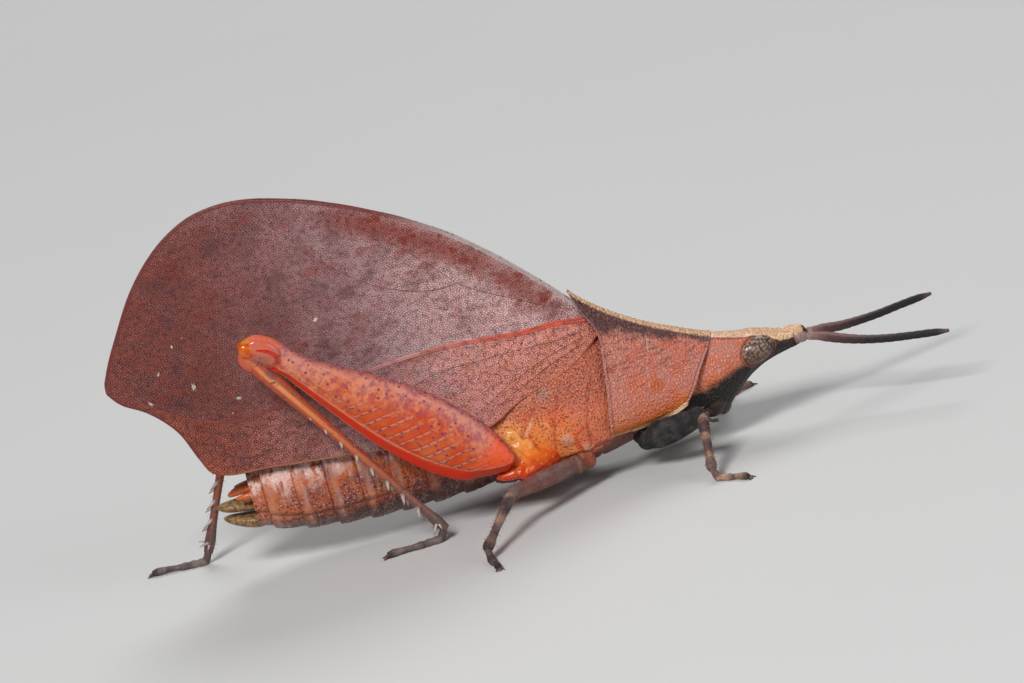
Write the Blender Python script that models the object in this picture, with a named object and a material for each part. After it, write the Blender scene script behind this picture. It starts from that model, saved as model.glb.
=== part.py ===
# Leaf-mimicking grasshopper, female, standing still, at life size.
# Metres, +Z up, +X towards the head, the insect's right side at -Y, floor at z = 0.

import math
from dataclasses import astuple, dataclass

import bmesh
import bpy
from mathutils import Matrix, Vector
from mathutils.geometry import delaunay_2d_cdt

MM = 0.001
GAP = 0.3
RIGHT, LEFT = -1, 1
SIDES = {"right": RIGHT, "left": LEFT}

# Driving sizes of the body, in millimetres
WAIST_X = -3.7
ABDOMEN_END_X = -19.7
SEGMENT_LENGTH = 2.2
SEGMENT_PROFILE = ((0.0, -0.035), (0.45, 0.0), (0.95, 0.02))
TAIL_X = ABDOMEN_END_X - GAP
HEAD_SIDES = 24
PRONOTUM_SIDES = 32
THORAX_SIDES = 24
ABDOMEN_SIDES = 20

# Eyes: centre with y from the middle, radii along the tilted length, out and across, tilt in degrees
EYE_CENTRE = (15.98, 1.16, 5.7)
EYE_RADII = (1.13, 0.62, 0.87)
EYE_TILT = -48

# Driving sizes of the tegmina, in millimetres
TEGMEN_THICKNESS = 0.5
TEGMEN_TOP_Y = 0.45
TEGMEN_FLARE = 3.0
TEGMEN_TIP_FLARE = 1.0
TEGMEN_NARROWS_FROM_X = -12.0
TEGMEN_NARROWS_OVER = 15.0
TEGMEN_HEM_Z = 7.0
TEGMEN_BULGE = 0.25
VEIN_WIDTH = 0.32
VEIN_HEIGHT = 0.14
MIDRIB_WIDTH = 0.45
MIDRIB_HEIGHT = 0.24
FILL_SPACING = 2.2
FILL_CLEARANCE = 0.75

# Colours: base colour, roughness
COLOURS = {
    "tegmen": ((0.30, 0.12, 0.10, 1), 0.6),
    "pronotum": ((0.45, 0.14, 0.08, 1), 0.6),
    "head": ((0.42, 0.15, 0.09, 1), 0.6),
    "eye": ((0.22, 0.15, 0.10, 1), 0.25),
    "antenna": ((0.06, 0.05, 0.06, 1), 0.7),
    "thorax": ((0.62, 0.20, 0.07, 1), 0.5),
    "abdomen": ((0.45, 0.20, 0.14, 1), 0.5),
    "valves": ((0.35, 0.27, 0.10, 1), 0.5),
    "hind_leg": ((0.70, 0.13, 0.04, 1), 0.4),
    "mid_leg": ((0.28, 0.13, 0.11, 1), 0.6),
    "fore_leg": ((0.05, 0.05, 0.05, 1), 0.7),
}


@dataclass
class Ring:
    """A body section at x: lowest, widest and highest z, half width, and squareness below and above."""

    x: float
    low: float
    wide: float
    high: float
    half: float
    n_low: float = 2.0
    n_high: float = 2.0


@dataclass
class Joint:
    """A limb section: its centre, its half depth up and down, its half thickness, and how square it is."""

    at: tuple
    up: float
    down: float
    half: float
    n: float = 2.0


HEAD = [
    Ring(10.35, 3.2, 5.0, 7.7, 2.45, 2.2, 2.2),
    Ring(11.6, 2.45, 4.8, 7.6, 2.5, 2.2, 2.3),
    Ring(12.5, 2.1, 4.6, 7.42, 2.4, 2.3, 2.4),
    Ring(13.2, 2.3, 4.7, 7.3, 2.25, 2.3, 2.6),
    Ring(14.0, 3.05, 5.0, 7.18, 2.0, 2.2, 2.8),
    Ring(15.0, 3.85, 5.4, 7.0, 1.7, 2.0, 3.0),
    Ring(16.0, 4.4, 5.7, 6.82, 1.4, 2.0, 3.0),
    Ring(17.0, 4.75, 5.8, 6.62, 1.12, 2.0, 3.0),
    Ring(18.0, 5.0, 5.85, 6.45, 0.88, 2.0, 3.0),
    Ring(18.8, 5.15, 5.9, 6.36, 0.7, 2.0, 3.0),
    Ring(19.3, 5.4, 5.95, 6.22, 0.48, 2.0, 2.6),
    Ring(19.5, 5.65, 5.9, 6.05, 0.25),
]

PRONOTUM = [
    Ring(3.9, 2.9, 4.5, 13.85, 4.25, 3.0, 1.22),
    Ring(4.55, 2.9, 4.5, 13.05, 4.23, 3.0, 1.22),
    Ring(5.4, 2.9, 4.5, 12.15, 4.18, 3.0, 1.24),
    Ring(6.4, 2.95, 4.5, 11.27, 4.06, 3.0, 1.26),
    Ring(7.6, 3.0, 4.45, 10.38, 3.85, 3.0, 1.3),
    Ring(9.0, 3.05, 4.4, 9.48, 3.55, 3.0, 1.36),
    Ring(10.5, 3.1, 4.4, 8.7, 3.2, 3.0, 1.44),
    Ring(12.0, 3.2, 4.4, 7.98, 2.85, 3.0, 1.55),
    Ring(13.6, 3.3, 4.4, 7.3, 2.5, 3.0, 1.65),
]

# Side view of the pronotum, x and z: crest tip, front margin, lower margin, rear margin
PRONOTUM_SIDE = [
    (4.4, 13.4),
    (13.5, 8.3),
    (13.3, 7.3),
    (12.55, 6.4),
    (11.85, 5.5),
    (11.2, 4.6),
    (10.55, 3.95),
    (9.6, 3.65),
    (8.2, 3.4),
    (6.8, 3.2),
    (5.6, 3.1),
    (4.75, 3.2),
    (4.95, 4.6),
    (5.3, 6.4),
    (5.6, 8.2),
    (5.75, 9.4),
    (5.6, 10.4),
    (5.2, 11.2),
    (4.85, 12.0),
]

THORAX = [
    Ring(-3.4, 1.45, 4.4, 9.3, 3.25, 2.4, 1.7),
    Ring(-1.5, 1.25, 4.2, 9.8, 3.55, 2.6, 1.6),
    Ring(0.5, 1.2, 4.2, 10.1, 3.75, 2.6, 1.6),
    Ring(2.5, 1.35, 4.3, 10.3, 3.85, 2.5, 1.6),
    Ring(4.5, 1.6, 4.4, 10.4, 3.8, 2.4, 1.6),
    Ring(6.5, 1.95, 4.0, 9.2, 3.1, 2.2, 1.7),
    Ring(8.5, 2.3, 3.9, 7.2, 2.3, 2.2, 1.8),
    Ring(10.0, 2.7, 3.9, 6.0, 1.7),
]

ABDOMEN = [
    Ring(-3.0, 1.5, 4.7, 9.2, 3.0),
    Ring(-8.0, 1.38, 4.8, 9.3, 3.1),
    Ring(-12.0, 1.5, 4.9, 9.1, 3.1),
    Ring(-15.5, 1.9, 5.0, 8.8, 3.0),
    Ring(-18.0, 2.4, 5.1, 8.3, 2.6),
    Ring(-19.3, 2.85, 5.2, 7.7, 2.2),
    Ring(-19.7, 3.3, 5.2, 7.0, 1.7),
]

# The tegmen's outline in side view, x and z: over the top from the root to the tip, then back along the hem
TEGMEN_TOP = [
    (5.0, 10.75),
    (4.35, 12.2),
    (3.4, 13.65),
    (1.2, 16.15),
    (-1.8, 18.95),
    (-5.4, 21.45),
    (-9.2, 23.45),
    (-12.7, 24.8),
    (-15.8, 25.5),
    (-18.1, 25.4),
    (-20.3, 24.6),
    (-22.2, 23.25),
    (-24.1, 21.2),
    (-25.7, 18.8),
    (-26.9, 16.75),
    (-27.4, 15.7),
]
TEGMEN_HEM = [
    (-27.45, 15.1),
    (-26.9, 14.45),
    (-25.1, 13.25),
    (-23.5, 11.45),
    (-22.6, 9.2),
    (-22.1, 8.2),
    (-21.4, 7.85),
    (-18.3, 7.6),
    (-13.5, 7.2),
    (-8.0, 6.5),
    (-4.2, 6.1),
    (-2.4, 6.5),
    (-1.1, 7.1),
    (1.1, 7.8),
    (3.4, 8.5),
    (4.85, 9.35),
    (5.2, 9.95),
]

MIDRIB = [
    (4.4, 11.1),
    (0.75, 11.8),
    (-2.0, 12.1),
    (-4.8, 12.4),
    (-7.7, 12.4),
    (-12.8, 12.0),
    (-16.4, 11.5),
    (-20.0, 11.35),
    (-22.6, 12.2),
    (-26.0, 14.5),
]

# Side veins, each from where it leaves the root or another vein to its end
SIDE_VEINS = [
    [(4.2, 12.0), (1.0, 13.9), (-2.5, 16.1), (-4.5, 18.3), (-8.0, 21.6)],
    [(-2.5, 16.1), (-6.4, 16.8), (-10.2, 19.4), (-12.8, 22.6)],
    [(-0.6, 12.3), (-3.9, 13.2), (-7.4, 14.9), (-11.8, 19.1), (-15.2, 23.6)],
    [(-5.5, 12.5), (-9.0, 13.7), (-14.3, 16.6), (-20.2, 22.4)],
    [(-11.2, 12.4), (-14.4, 14.5), (-20.2, 18.0), (-23.2, 20.6)],
    [(-15.6, 12.0), (-19.2, 14.6), (-25.0, 18.4)],
    [(-19.6, 11.7), (-22.5, 13.6), (-25.8, 15.8)],
    [(4.2, 10.5), (-1.0, 10.8), (-5.2, 10.6), (-10.6, 8.6)],
    [(4.4, 10.0), (2.2, 9.7), (-0.3, 8.8), (-3.6, 7.2)],
    [(-9.6, 12.0), (-13.0, 10.4), (-15.6, 8.5)],
    [(-14.6, 11.5), (-17.6, 10.2), (-19.8, 8.6)],
]

# Antennae: x, distance from the middle, z, half height and half thickness
ANTENNA = [
    (20.0, 0.75, 5.4, 0.31, 0.3),
    (20.7, 1.1, 5.22, 0.4, 0.32),
    (21.8, 1.7, 4.92, 0.4, 0.3),
    (23.0, 2.45, 4.7, 0.36, 0.29),
    (24.6, 3.3, 4.53, 0.33, 0.28),
    (26.2, 4.1, 4.47, 0.31, 0.27),
    (27.8, 4.8, 4.42, 0.28, 0.26),
    (28.7, 5.15, 4.38, 0.17, 0.16),
]

# Hind leg: hip end of the thigh, and each side's knee, ankle and toe tip, with y from the middle
HIND_BASE = (-1.3, 5.3, 3.2)
HIND_KNEES = {"right": (-16.75, 5.45, 16.4), "left": (-16.4, 5.45, 16.8)}
HIND_ANKLES = {"right": (-7.9, 5.5, 0.97), "left": (-24.1, 5.1, 0.97)}
HIND_TOES = {"right": (-12.1, 5.9, 0.0), "left": (-28.3, 5.9, 0.0)}
# Hind thigh: distance along the axis from base to knee, depth above it, depth below it, half thickness
HIND_FEMUR = [
    (0.35, 0.25, 0.8, 0.5),
    (1.3, 0.35, 1.7, 0.72),
    (2.6, 0.65, 2.4, 0.88),
    (4.0, 1.1, 2.9, 0.95),
    (5.8, 1.58, 3.08, 1.0),
    (8.0, 1.85, 3.0, 1.0),
    (10.4, 1.82, 2.65, 0.95),
    (12.8, 1.6, 2.1, 0.85),
    (15.0, 1.25, 1.5, 0.74),
    (16.8, 1.0, 1.02, 0.66),
    (18.0, 1.0, 0.8, 0.64),
    (19.2, 1.3, 0.86, 0.74),
    (20.3, 1.35, 1.0, 0.78),
    (21.1, 0.95, 0.78, 0.62),
    (21.5, 0.4, 0.35, 0.32),
]
HIND_FEMUR_UP = (0.65, 0, 0.76)
HIND_FEMUR_SQUARENESS = 1.75
HIND_COXA = [
    ((0.1, 3.0, 2.95), 1.2),
    ((-0.5, 4.1, 2.98), 1.0),
    ((-1.4, 5.3, 3.05), 0.72),
    ((-1.75, 5.45, 3.3), 0.42),
]
# Hind shin: where it starts from the knee, and its share of length from there with its half thickness
HIND_SHIN_START = (-0.7, 0, -0.35)
HIND_SHIN = [
    (0.0, 0.42), (0.05, 0.5), (0.12, 0.42), (0.3, 0.36), (0.6, 0.31), (0.9, 0.29), (0.97, 0.36), (1.0, 0.3)
]
# Spines in two rows: share of the shin where the row runs, lengths, and lean backwards, down and across
SPINE_COUNT = 8
SPINE_SHARES = (0.36, 0.92)
SPINE_STAGGER = 0.012
SPINE_LENGTHS = (0.8, 1.2)
SPINE_LEAN = (0.72, 0.7, 0.35)
SPINE_ROOT = 0.2
SPINE_APART = 0.11
SPINE_SIDES = 5
SPUR_SHARE = 0.965
SPUR_LEAN = (0.75, 0.3, 0.6)

# Middle and front legs: hip, hinge, knee, ankle and toe tip, with y from the middle
SMALL_LEGS = {
    "mid": {
        "right": [(2.9, 2.7, 2.3), (1.9, 3.7, 2.1), (-2.9, 8.6, 2.75), (-5.4, 13, 0.85), (-5.0, 15.9, 0)],
        "left": [(2.9, 2.7, 2.3), (2.1, 3.7, 2.1), (-2.2, 8.7, 2.9), (-4.2, 13.2, 0.85), (-3.6, 16, 0)],
    },
    "fore": {
        "right": [(7, 1.9, 2.55), (7, 2.9, 2.15), (11, 5.6, 3.55), (10.6, 9.4, 0.85), (12.8, 11.4, 0)],
        "left": [(7, 1.9, 2.55), (7.3, 2.8, 2.1), (12.2, 5, 3.3), (12.9, 8.8, 0.85), (15.2, 10.6, 0)],
    },
}
COXA_RADII = (0.95, 0.72, 0.5)
THIGH = {"mid": 0.64, "fore": 0.9}
SHIN = {"mid": 0.37, "fore": 0.35}
# Share of the way along a thigh or shin, and the share of its full thickness there
THIGH_PROFILE = [(0.0, 0.6), (0.1, 0.85), (0.35, 1.0), (0.7, 0.88), (0.88, 0.74), (0.97, 0.8), (1.03, 0.5)]
SHIN_PROFILE = [(0.0, 0.85), (0.08, 1.05), (0.4, 0.9), (0.8, 0.85), (0.95, 1.05), (1.02, 0.8)]

# Feet: half thickness. Then share of the way to the toe, and middle height and thickness as shares of it
FOOT = {"hind": 0.38, "mid": 0.34, "fore": 0.34}
FOOT_PROFILE = [
    (0.0, 2.5, 0.8), (0.1, 0.9, 1.0), (0.18, 0.6, 1.15), (0.24, 0.62, 0.95), (0.3, 0.6, 1.15),
    (0.37, 0.62, 0.9), (0.45, 0.6, 1.1), (0.53, 0.75, 0.78), (0.76, 0.95, 0.76), (0.92, 0.85, 0.95),
    (1.0, 0.7, 0.7),
]
# Claws and toe pad, as shares of the foot's half thickness
CLAW_BACK = 0.6
CLAW_HEIGHTS = (0.85, 0.2)
CLAW_REACH = 1.75
CLAW_SPREAD = 1.2
CLAW_ROOT = 0.5
CLAW_TIP = 0.25
PAD_RADII = (0.9, 0.9, 0.6)
PAD_HEIGHT = 0.4

# Plate, valves and cerci at the end of the abdomen: x, height, half height up and down, half width
EPIPROCT = [(TAIL_X, 5.98, 0.45, 0.3, 0.95), (-20.8, 5.88, 0.34, 0.26, 0.7), (-21.6, 5.7, 0.16, 0.12, 0.22)]
UPPER_VALVE = [
    (TAIL_X, 4.85, 0.44, 0.36, 1.1), (-20.8, 4.88, 0.38, 0.34, 0.95), (-21.9, 4.98, 0.26, 0.28, 0.6),
    (-22.6, 5.12, 0.14, 0.14, 0.25),
]
LOWER_VALVE = [
    (TAIL_X, 3.75, 0.38, 0.62, 1.2), (-20.8, 3.85, 0.32, 0.5, 1.0), (-21.6, 4.07, 0.2, 0.3, 0.6),
    (-22.3, 4.25, 0.1, 0.13, 0.25),
]
CERCUS = [((TAIL_X, 1.55, 5.75), 0.29), ((-20.5, 1.57, 5.77), 0.25), ((-21.1, 1.5, 5.8), 0.1)]

# Mouth: lip, jaw lobes, feelers, and the first joints of the antennae, with y from the middle
LIP = ((12.75, 0, 2.35), (0.55, 1.0, 0.75), 0.5)
JAW = ((11.9, 1.05, 2.55), (0.9, 0.55, 0.62))
SCAPE = ((19.1, 0.42, 5.55), (0.55, 0.36, 0.42))
FEELER = [
    ((11.6, 1.4, 2.6), 0.28), ((11.2, 1.75, 1.95), 0.27), ((11.7, 1.85, 1.5), 0.25), ((12.3, 1.7, 1.4), 0.18)
]
BALL = (12, 8)
EYE_BALL = (20, 14)
PAD_BALL = (8, 6)
CUT_HALF_WIDTH = 8.0
CORNER_GROWTH = 1.6


def metres(point):
    """A point in millimetres as a vector in metres."""
    return Vector(point) * MM


def on_side(point, side):
    """A point given by its distance from the middle, put on the right or the left."""
    x, y, z = point
    return (x, side * y, z)


def signed_power(value, exponent):
    """The value's size raised to the exponent, with its sign kept."""
    return math.copysign(abs(value) ** exponent, value)


def between(a, b, t):
    """The value a share t of the way from a to b."""
    return a + (b - a) * t


def smoothstep(t):
    """A soft step from 0 to 1."""
    t = min(1.0, max(0.0, t))
    return t * t * (3 - 2 * t)


def at_x(points, x):
    """The height at x of a line of (x, z) points in order of falling x."""
    for (x0, z0), (x1, z1) in zip(points, points[1:]):
        if x1 <= x <= x0:
            return between(z0, z1, (x0 - x) / (x0 - x1))
    return points[0][1] if x > points[0][0] else points[-1][1]


def smooth_line(points, steps, closed=False):
    """A Catmull-Rom line through the points, with the given number of steps between each pair."""
    count = len(points)
    line = []
    for i in range(count if closed else count - 1):
        if closed:
            p0, p1, p2, p3 = (Vector(points[(i + k) % count]) for k in (-1, 0, 1, 2))
        else:
            p0, p1, p2, p3 = (Vector(points[min(max(i + k, 0), count - 1)]) for k in (-1, 0, 1, 2))
        for k in range(steps):
            t = k / steps
            line.append(
                0.5 * (2 * p1 + (p2 - p0) * t + (2 * p0 - 5 * p1 + 4 * p2 - p3) * t**2
                       + (3 * p1 - p0 - 3 * p2 + p3) * t**3)
            )
    if not closed:
        line.append(Vector(points[-1]))
    return line


def material(slot):
    """The finish of one kind of part."""
    found = bpy.data.materials.get(slot)
    if found:
        return found
    colour, roughness = COLOURS[slot]
    made = bpy.data.materials.new(slot)
    made.use_nodes = True
    shader = made.node_tree.nodes["Principled BSDF"]
    shader.inputs["Base Color"].default_value = colour
    shader.inputs["Roughness"].default_value = roughness
    shader.inputs["Metallic"].default_value = 0.0
    return made


def object_from(name, bm, slot, collection):
    """A named object from a bmesh, with its faces pointing out."""
    bmesh.ops.recalc_face_normals(bm, faces=bm.faces)
    mesh = bpy.data.meshes.new(name)
    bm.to_mesh(mesh)
    bm.free()
    obj = bpy.data.objects.new(name, mesh)
    mesh.materials.append(material(slot))
    collection.objects.link(obj)
    return obj


def loft(name, rings, slot, collection):
    """A closed tube through rings of points in millimetres, capped at both ends."""
    bm = bmesh.new()
    loops = [[bm.verts.new(metres(p)) for p in ring] for ring in rings]
    count = len(loops[0])
    for near, far in zip(loops, loops[1:]):
        for k in range(count):
            j = (k + 1) % count
            bm.faces.new((near[k], near[j], far[j], far[k]))
    bm.faces.new(loops[0])
    bm.faces.new(loops[-1])
    return object_from(name, bm, slot, collection)


def body_ring(ring, sides):
    """The points round one section of the body."""
    points = []
    for k in range(sides):
        angle = 2 * math.pi * k / sides
        c, s = math.cos(angle), math.sin(angle)
        n = ring.n_high if s > 0 else ring.n_low
        height = ring.high - ring.wide if s > 0 else ring.wide - ring.low
        y, rise = ring.half * signed_power(c, 2 / n), height * signed_power(s, 2 / n)
        points.append((ring.x, y, ring.wide + rise))
    return points


def body_loft(name, rings, sides, slot, collection):
    """A length of the body through its sections."""
    return loft(name, [body_ring(ring, sides) for ring in rings], slot, collection)


def ring_at(rings, x):
    """The section at x, between the two nearest that are given."""
    ordered = sorted(rings, key=lambda ring: ring.x)
    for a, b in zip(ordered, ordered[1:]):
        if x <= b.x:
            t = (x - a.x) / (b.x - a.x)
            return Ring(*(between(start, end, t) for start, end in zip(astuple(a), astuple(b))))
    return ordered[-1]


def limb_ring(joint, axis, up, sides):
    """The points round one section of a limb, square to its axis."""
    side = axis.cross(up).normalized()
    top = side.cross(axis).normalized()
    points = []
    for k in range(sides):
        angle = 2 * math.pi * k / sides
        c, s = math.cos(angle), math.sin(angle)
        depth = joint.up if s > 0 else joint.down
        power = 2 / joint.n
        across, rise = joint.half * signed_power(c, power), depth * signed_power(s, power)
        points.append(Vector(joint.at) + side * across + top * rise)
    return points


def limb_loft(name, joints, up, sides, slot, collection):
    """A limb through its sections, each turned to the way the limb runs there."""
    centres = [Vector(joint.at) for joint in joints]
    rings = []
    for i, joint in enumerate(joints):
        axis = (centres[min(i + 1, len(centres) - 1)] - centres[max(i - 1, 0)]).normalized()
        rings.append(limb_ring(joint, axis, Vector(up), sides))
    return loft(name, rings, slot, collection)


def ellipsoid(name, centre, radii, turn, divisions, slot, collection):
    """A ball stretched to three radii and turned by a matrix."""
    segments, rings = divisions
    bm = bmesh.new()
    bmesh.ops.create_uvsphere(bm, u_segments=segments, v_segments=rings, radius=1.0)
    stretch = Matrix.Diagonal((*metres(radii), 1))
    shape = Matrix.Translation(metres(centre)) @ turn.to_4x4() @ stretch
    bmesh.ops.transform(bm, matrix=shape, verts=bm.verts)
    return object_from(name, bm, slot, collection)


def cone(name, root, tip, radius, slot, collection, tip_share=0.12):
    """A tapered spine from its root to its tip."""
    root, tip = metres(root), metres(tip)
    axis = tip - root
    ends = radius * MM, radius * tip_share * MM
    bm = bmesh.new()
    bmesh.ops.create_cone(
        bm, cap_ends=True, segments=SPINE_SIDES, radius1=ends[0], radius2=ends[1], depth=axis.length
    )
    turn = axis.to_track_quat("Z", "Y").to_matrix().to_4x4()
    bmesh.ops.transform(bm, matrix=Matrix.Translation((root + tip) / 2) @ turn, verts=bm.verts)
    return object_from(name, bm, slot, collection)


def prism(name, outline, half_width, slot, collection):
    """A flat side view outline, given as x and z, made thick across the body."""
    curve = bpy.data.curves.new(name, "CURVE")
    curve.dimensions = "2D"
    curve.fill_mode = "BOTH"
    curve.extrude = half_width * MM
    spline = curve.splines.new("POLY")
    spline.points.add(len(outline) - 1)
    for point, (x, z) in zip(spline.points, outline):
        point.co = (x * MM, z * MM, 0, 1)
    spline.use_cyclic_u = True
    flat = bpy.data.objects.new(name + "_outline", curve)
    flat.rotation_euler = (math.pi / 2, 0, 0)
    bpy.context.scene.collection.objects.link(flat)
    return meshed(flat, name, slot, collection)


def meshed(obj, name, slot, collection):
    """A curve object made a closed mesh in world space, with its caps welded. The curve is removed."""
    bpy.context.view_layer.update()
    graph = bpy.context.evaluated_depsgraph_get()
    mesh = bpy.data.meshes.new_from_object(obj.evaluated_get(graph))
    bm = bmesh.new()
    bm.from_mesh(mesh)
    bmesh.ops.transform(bm, matrix=obj.matrix_world, verts=bm.verts)
    bmesh.ops.remove_doubles(bm, verts=bm.verts, dist=1e-6)
    bpy.data.objects.remove(obj)
    return object_from(name, bm, slot, collection)


def combine(obj, others, operation):
    """Joins or cuts an object with a group of others by one Boolean, applies it, and removes the others."""
    group = bpy.data.collections.new("pieces")
    bpy.context.scene.collection.children.link(group)
    for other in others:
        for held in list(other.users_collection):
            held.objects.unlink(other)
        group.objects.link(other)
    modifier = obj.modifiers.new("combine", "BOOLEAN")
    modifier.operation = operation
    modifier.operand_type = "COLLECTION"
    modifier.collection = group
    modifier.solver = "EXACT"
    bpy.context.view_layer.update()
    graph = bpy.context.evaluated_depsgraph_get()
    mesh = bpy.data.meshes.new_from_object(obj.evaluated_get(graph))
    obj.modifiers.clear()
    obj.data = mesh
    for other in others:
        bpy.data.objects.remove(other)
    bpy.data.collections.remove(group)
    keep_largest(obj)
    return obj


def keep_largest(obj):
    """Leaves only the closed surface with the most volume."""
    bm = bmesh.new()
    bm.from_mesh(obj.data)
    bmesh.ops.remove_doubles(bm, verts=bm.verts, dist=2e-6)
    bmesh.ops.dissolve_degenerate(bm, edges=bm.edges, dist=2e-6)
    left = set(bm.faces)
    islands = []
    while left:
        stack = [left.pop()]
        island = set(stack)
        while stack:
            for edge in stack.pop().edges:
                for face in edge.link_faces:
                    if face in left:
                        left.discard(face)
                        island.add(face)
                        stack.append(face)
        islands.append(island)
    largest = max(islands, key=enclosed_volume)
    doomed = [face for face in bm.faces if face not in largest]
    bmesh.ops.delete(bm, geom=doomed, context="FACES")
    bm.to_mesh(obj.data)
    bm.free()


def enclosed_volume(faces):
    """The volume inside a closed set of faces."""
    total = 0.0
    for face in faces:
        corners = [vert.co for vert in face.verts]
        for b, c in zip(corners[1:], corners[2:]):
            total += corners[0].dot(b.cross(c)) / 6
    return abs(total)


def duplicate(obj):
    """A copy of an object with a mesh of its own."""
    copy = obj.copy()
    copy.data = obj.data.copy()
    bpy.context.scene.collection.objects.link(copy)
    return copy


def grown(obj):
    """A copy of an object that is larger by the gap all round, to cut a neighbour clear of it."""
    copy = duplicate(obj)
    bm = bmesh.new()
    bm.from_mesh(copy.data)
    bm.normal_update()
    shifts = [
        (vert, vert.normal * GAP * MM * min(vert.calc_shell_factor(), CORNER_GROWTH)) for vert in bm.verts
    ]
    for vert, shift in shifts:
        vert.co += shift
    bm.to_mesh(copy.data)
    bm.free()
    return copy


def carve(obj, cutters):
    """Cuts an object clear of its neighbours by cutters already grown by the gap."""
    return combine(obj, cutters, "DIFFERENCE")


def centre_origin(obj):
    """Moves an object's origin to the middle of its own box, with its shape left in place."""
    corners = [Vector(corner) for corner in obj.bound_box]
    centre = sum(corners, Vector()) / len(corners)
    obj.data.transform(Matrix.Translation(-centre))
    obj.location = centre


def smooth_shade(obj, degrees=35):
    """Smooth shading with sharp edges kept."""
    obj.data.shade_smooth()
    obj.data.set_sharp_from_angle(angle=math.radians(degrees))


def tegmen_y(x, z):
    """How far out the tegmen's middle layer lies: a steep roof, a little rounded, down to the hem."""
    ridge = at_x(TEGMEN_TOP, x)
    narrowing = smoothstep((TEGMEN_NARROWS_FROM_X - x) / TEGMEN_NARROWS_OVER)
    flare = between(TEGMEN_FLARE, TEGMEN_TIP_FLARE, narrowing)
    share = min(max(0.0, (ridge - z) / (ridge - TEGMEN_HEM_Z)), 1.1)
    return TEGMEN_TOP_Y + flare * share + TEGMEN_BULGE * math.sin(math.pi * min(share, 1.0))


def distance_to_line(point, line):
    """How far a point is from a line of points."""
    best = math.inf
    for a, b in zip(line, line[1:]):
        run = b - a
        t = min(1.0, max(0.0, (point - a).dot(run) / run.length_squared))
        best = min(best, (point - a - run * t).length)
    return best


def vein_lines():
    """Every vein as its smooth line in side view, its half width and its height."""
    veins = [(smooth_line(MIDRIB, 2), MIDRIB_WIDTH, MIDRIB_HEIGHT)]
    for points in SIDE_VEINS:
        veins.append((smooth_line(points, 2), VEIN_WIDTH, VEIN_HEIGHT))
    return veins


def ridge_height(point, veins):
    """How far the veins raise the membrane at a point."""
    return max(height * max(0.0, 1 - distance_to_line(point, line) / width) for line, width, height in veins)


def add_chain(points, edges, chain):
    """Adds a chain of points and the edges between them."""
    first = len(points)
    points.extend(chain)
    edges.extend((first + k, first + k + 1) for k in range(len(chain) - 1))


def rails(line, width):
    """The two lines beside a vein, a half width off."""
    left, right = [], []
    for i, point in enumerate(line):
        run = line[min(i + 1, len(line) - 1)] - line[max(i - 1, 0)]
        off = Vector((-run.y, run.x)).normalized() * width
        left.append(point + off)
        right.append(point - off)
    return left, right


def tegmen_layout(veins):
    """The membrane's triangles in side view, with an edge along each vein and the rails beside it."""
    outline = smooth_line(TEGMEN_TOP + TEGMEN_HEM, 2, closed=True)
    points = list(outline)
    edges = [(k, (k + 1) % len(outline)) for k in range(len(outline))]
    lines = []
    for line, width, _ in veins:
        for chain in (line, *rails(line, width)):
            add_chain(points, edges, chain)
            lines.append(chain)
    lines.append(outline + outline[:1])
    points += fill_points(outline, lines)
    return delaunay_2d_cdt(points, edges, [list(range(len(outline)))], 1, 1e-4)


def fill_points(outline, lines):
    """Points in staggered rows, clear of the membrane's lines. Those outside it drop out later."""
    low, high = min(point.y for point in outline), max(point.y for point in outline)
    back, front = min(point.x for point in outline), max(point.x for point in outline)
    row_height = FILL_SPACING * math.sqrt(3) / 2
    found = []
    for row in range(1, int((high - low) / row_height) + 1):
        x = back + (row % 2) * FILL_SPACING / 2
        while x < front:
            point = Vector((x, low + row * row_height))
            if min(distance_to_line(point, line) for line in lines) > FILL_CLEARANCE:
                found.append(point)
            x += FILL_SPACING
    return found


def tegmen(name, side, collection):
    """A leaf-shaped front wing: a curved membrane with raised veins."""
    veins = vein_lines()
    flat, _, triangles, _, _, _ = tegmen_layout(veins)
    bm = bmesh.new()
    outer, inner = [], []
    for point in flat:
        middle = tegmen_y(*point)
        lift = ridge_height(point, veins)
        outer.append(bm.verts.new(metres((point.x, side * (middle + TEGMEN_THICKNESS / 2 + lift), point.y))))
        inner.append(bm.verts.new(metres((point.x, side * (middle - TEGMEN_THICKNESS / 2), point.y))))
    rim = {}
    for corners in triangles:
        bm.faces.new([outer[k] for k in corners])
        bm.faces.new([inner[k] for k in reversed(corners)])
        for a, b in zip(corners, (*corners[1:], corners[0])):
            rim[frozenset((a, b))] = None if frozenset((a, b)) in rim else (a, b)
    for edge in rim.values():
        if edge:
            a, b = edge
            bm.faces.new((outer[b], outer[a], inner[a], inner[b]))
    loose = [vert for vert in bm.verts if not vert.link_faces]
    bmesh.ops.delete(bm, geom=loose, context="VERTS")
    return object_from(name, bm, "tegmen", collection)


def head(collection):
    """The cone-shaped head with its lip, jaw lobes and feelers, and the antennae's first joints."""
    skull = body_loft("head", HEAD, HEAD_SIDES, "head", collection)
    flat = Matrix.Identity(3)
    centre, radii, turn = LIP
    pieces = [ellipsoid("lip", centre, radii, Matrix.Rotation(turn, 3, "Y"), BALL, "head", collection)]
    for name, side in SIDES.items():
        for piece, (middle, radii) in (("jaw_", JAW), ("scape_", SCAPE)):
            centre = on_side(middle, side)
            pieces.append(ellipsoid(piece + name, centre, radii, flat, BALL, "head", collection))
        pieces.append(round_limb("feeler_" + name, FEELER, side, 6, "head", collection))
    return combine(skull, pieces, "UNION")


def round_limb(name, sections, side, sides, slot, collection):
    """A round limb through centres, each with its radius."""
    joints = [Joint(on_side(centre, side), radius, radius, radius) for centre, radius in sections]
    return limb_loft(name, joints, (0, 0, 1), sides, slot, collection)


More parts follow.
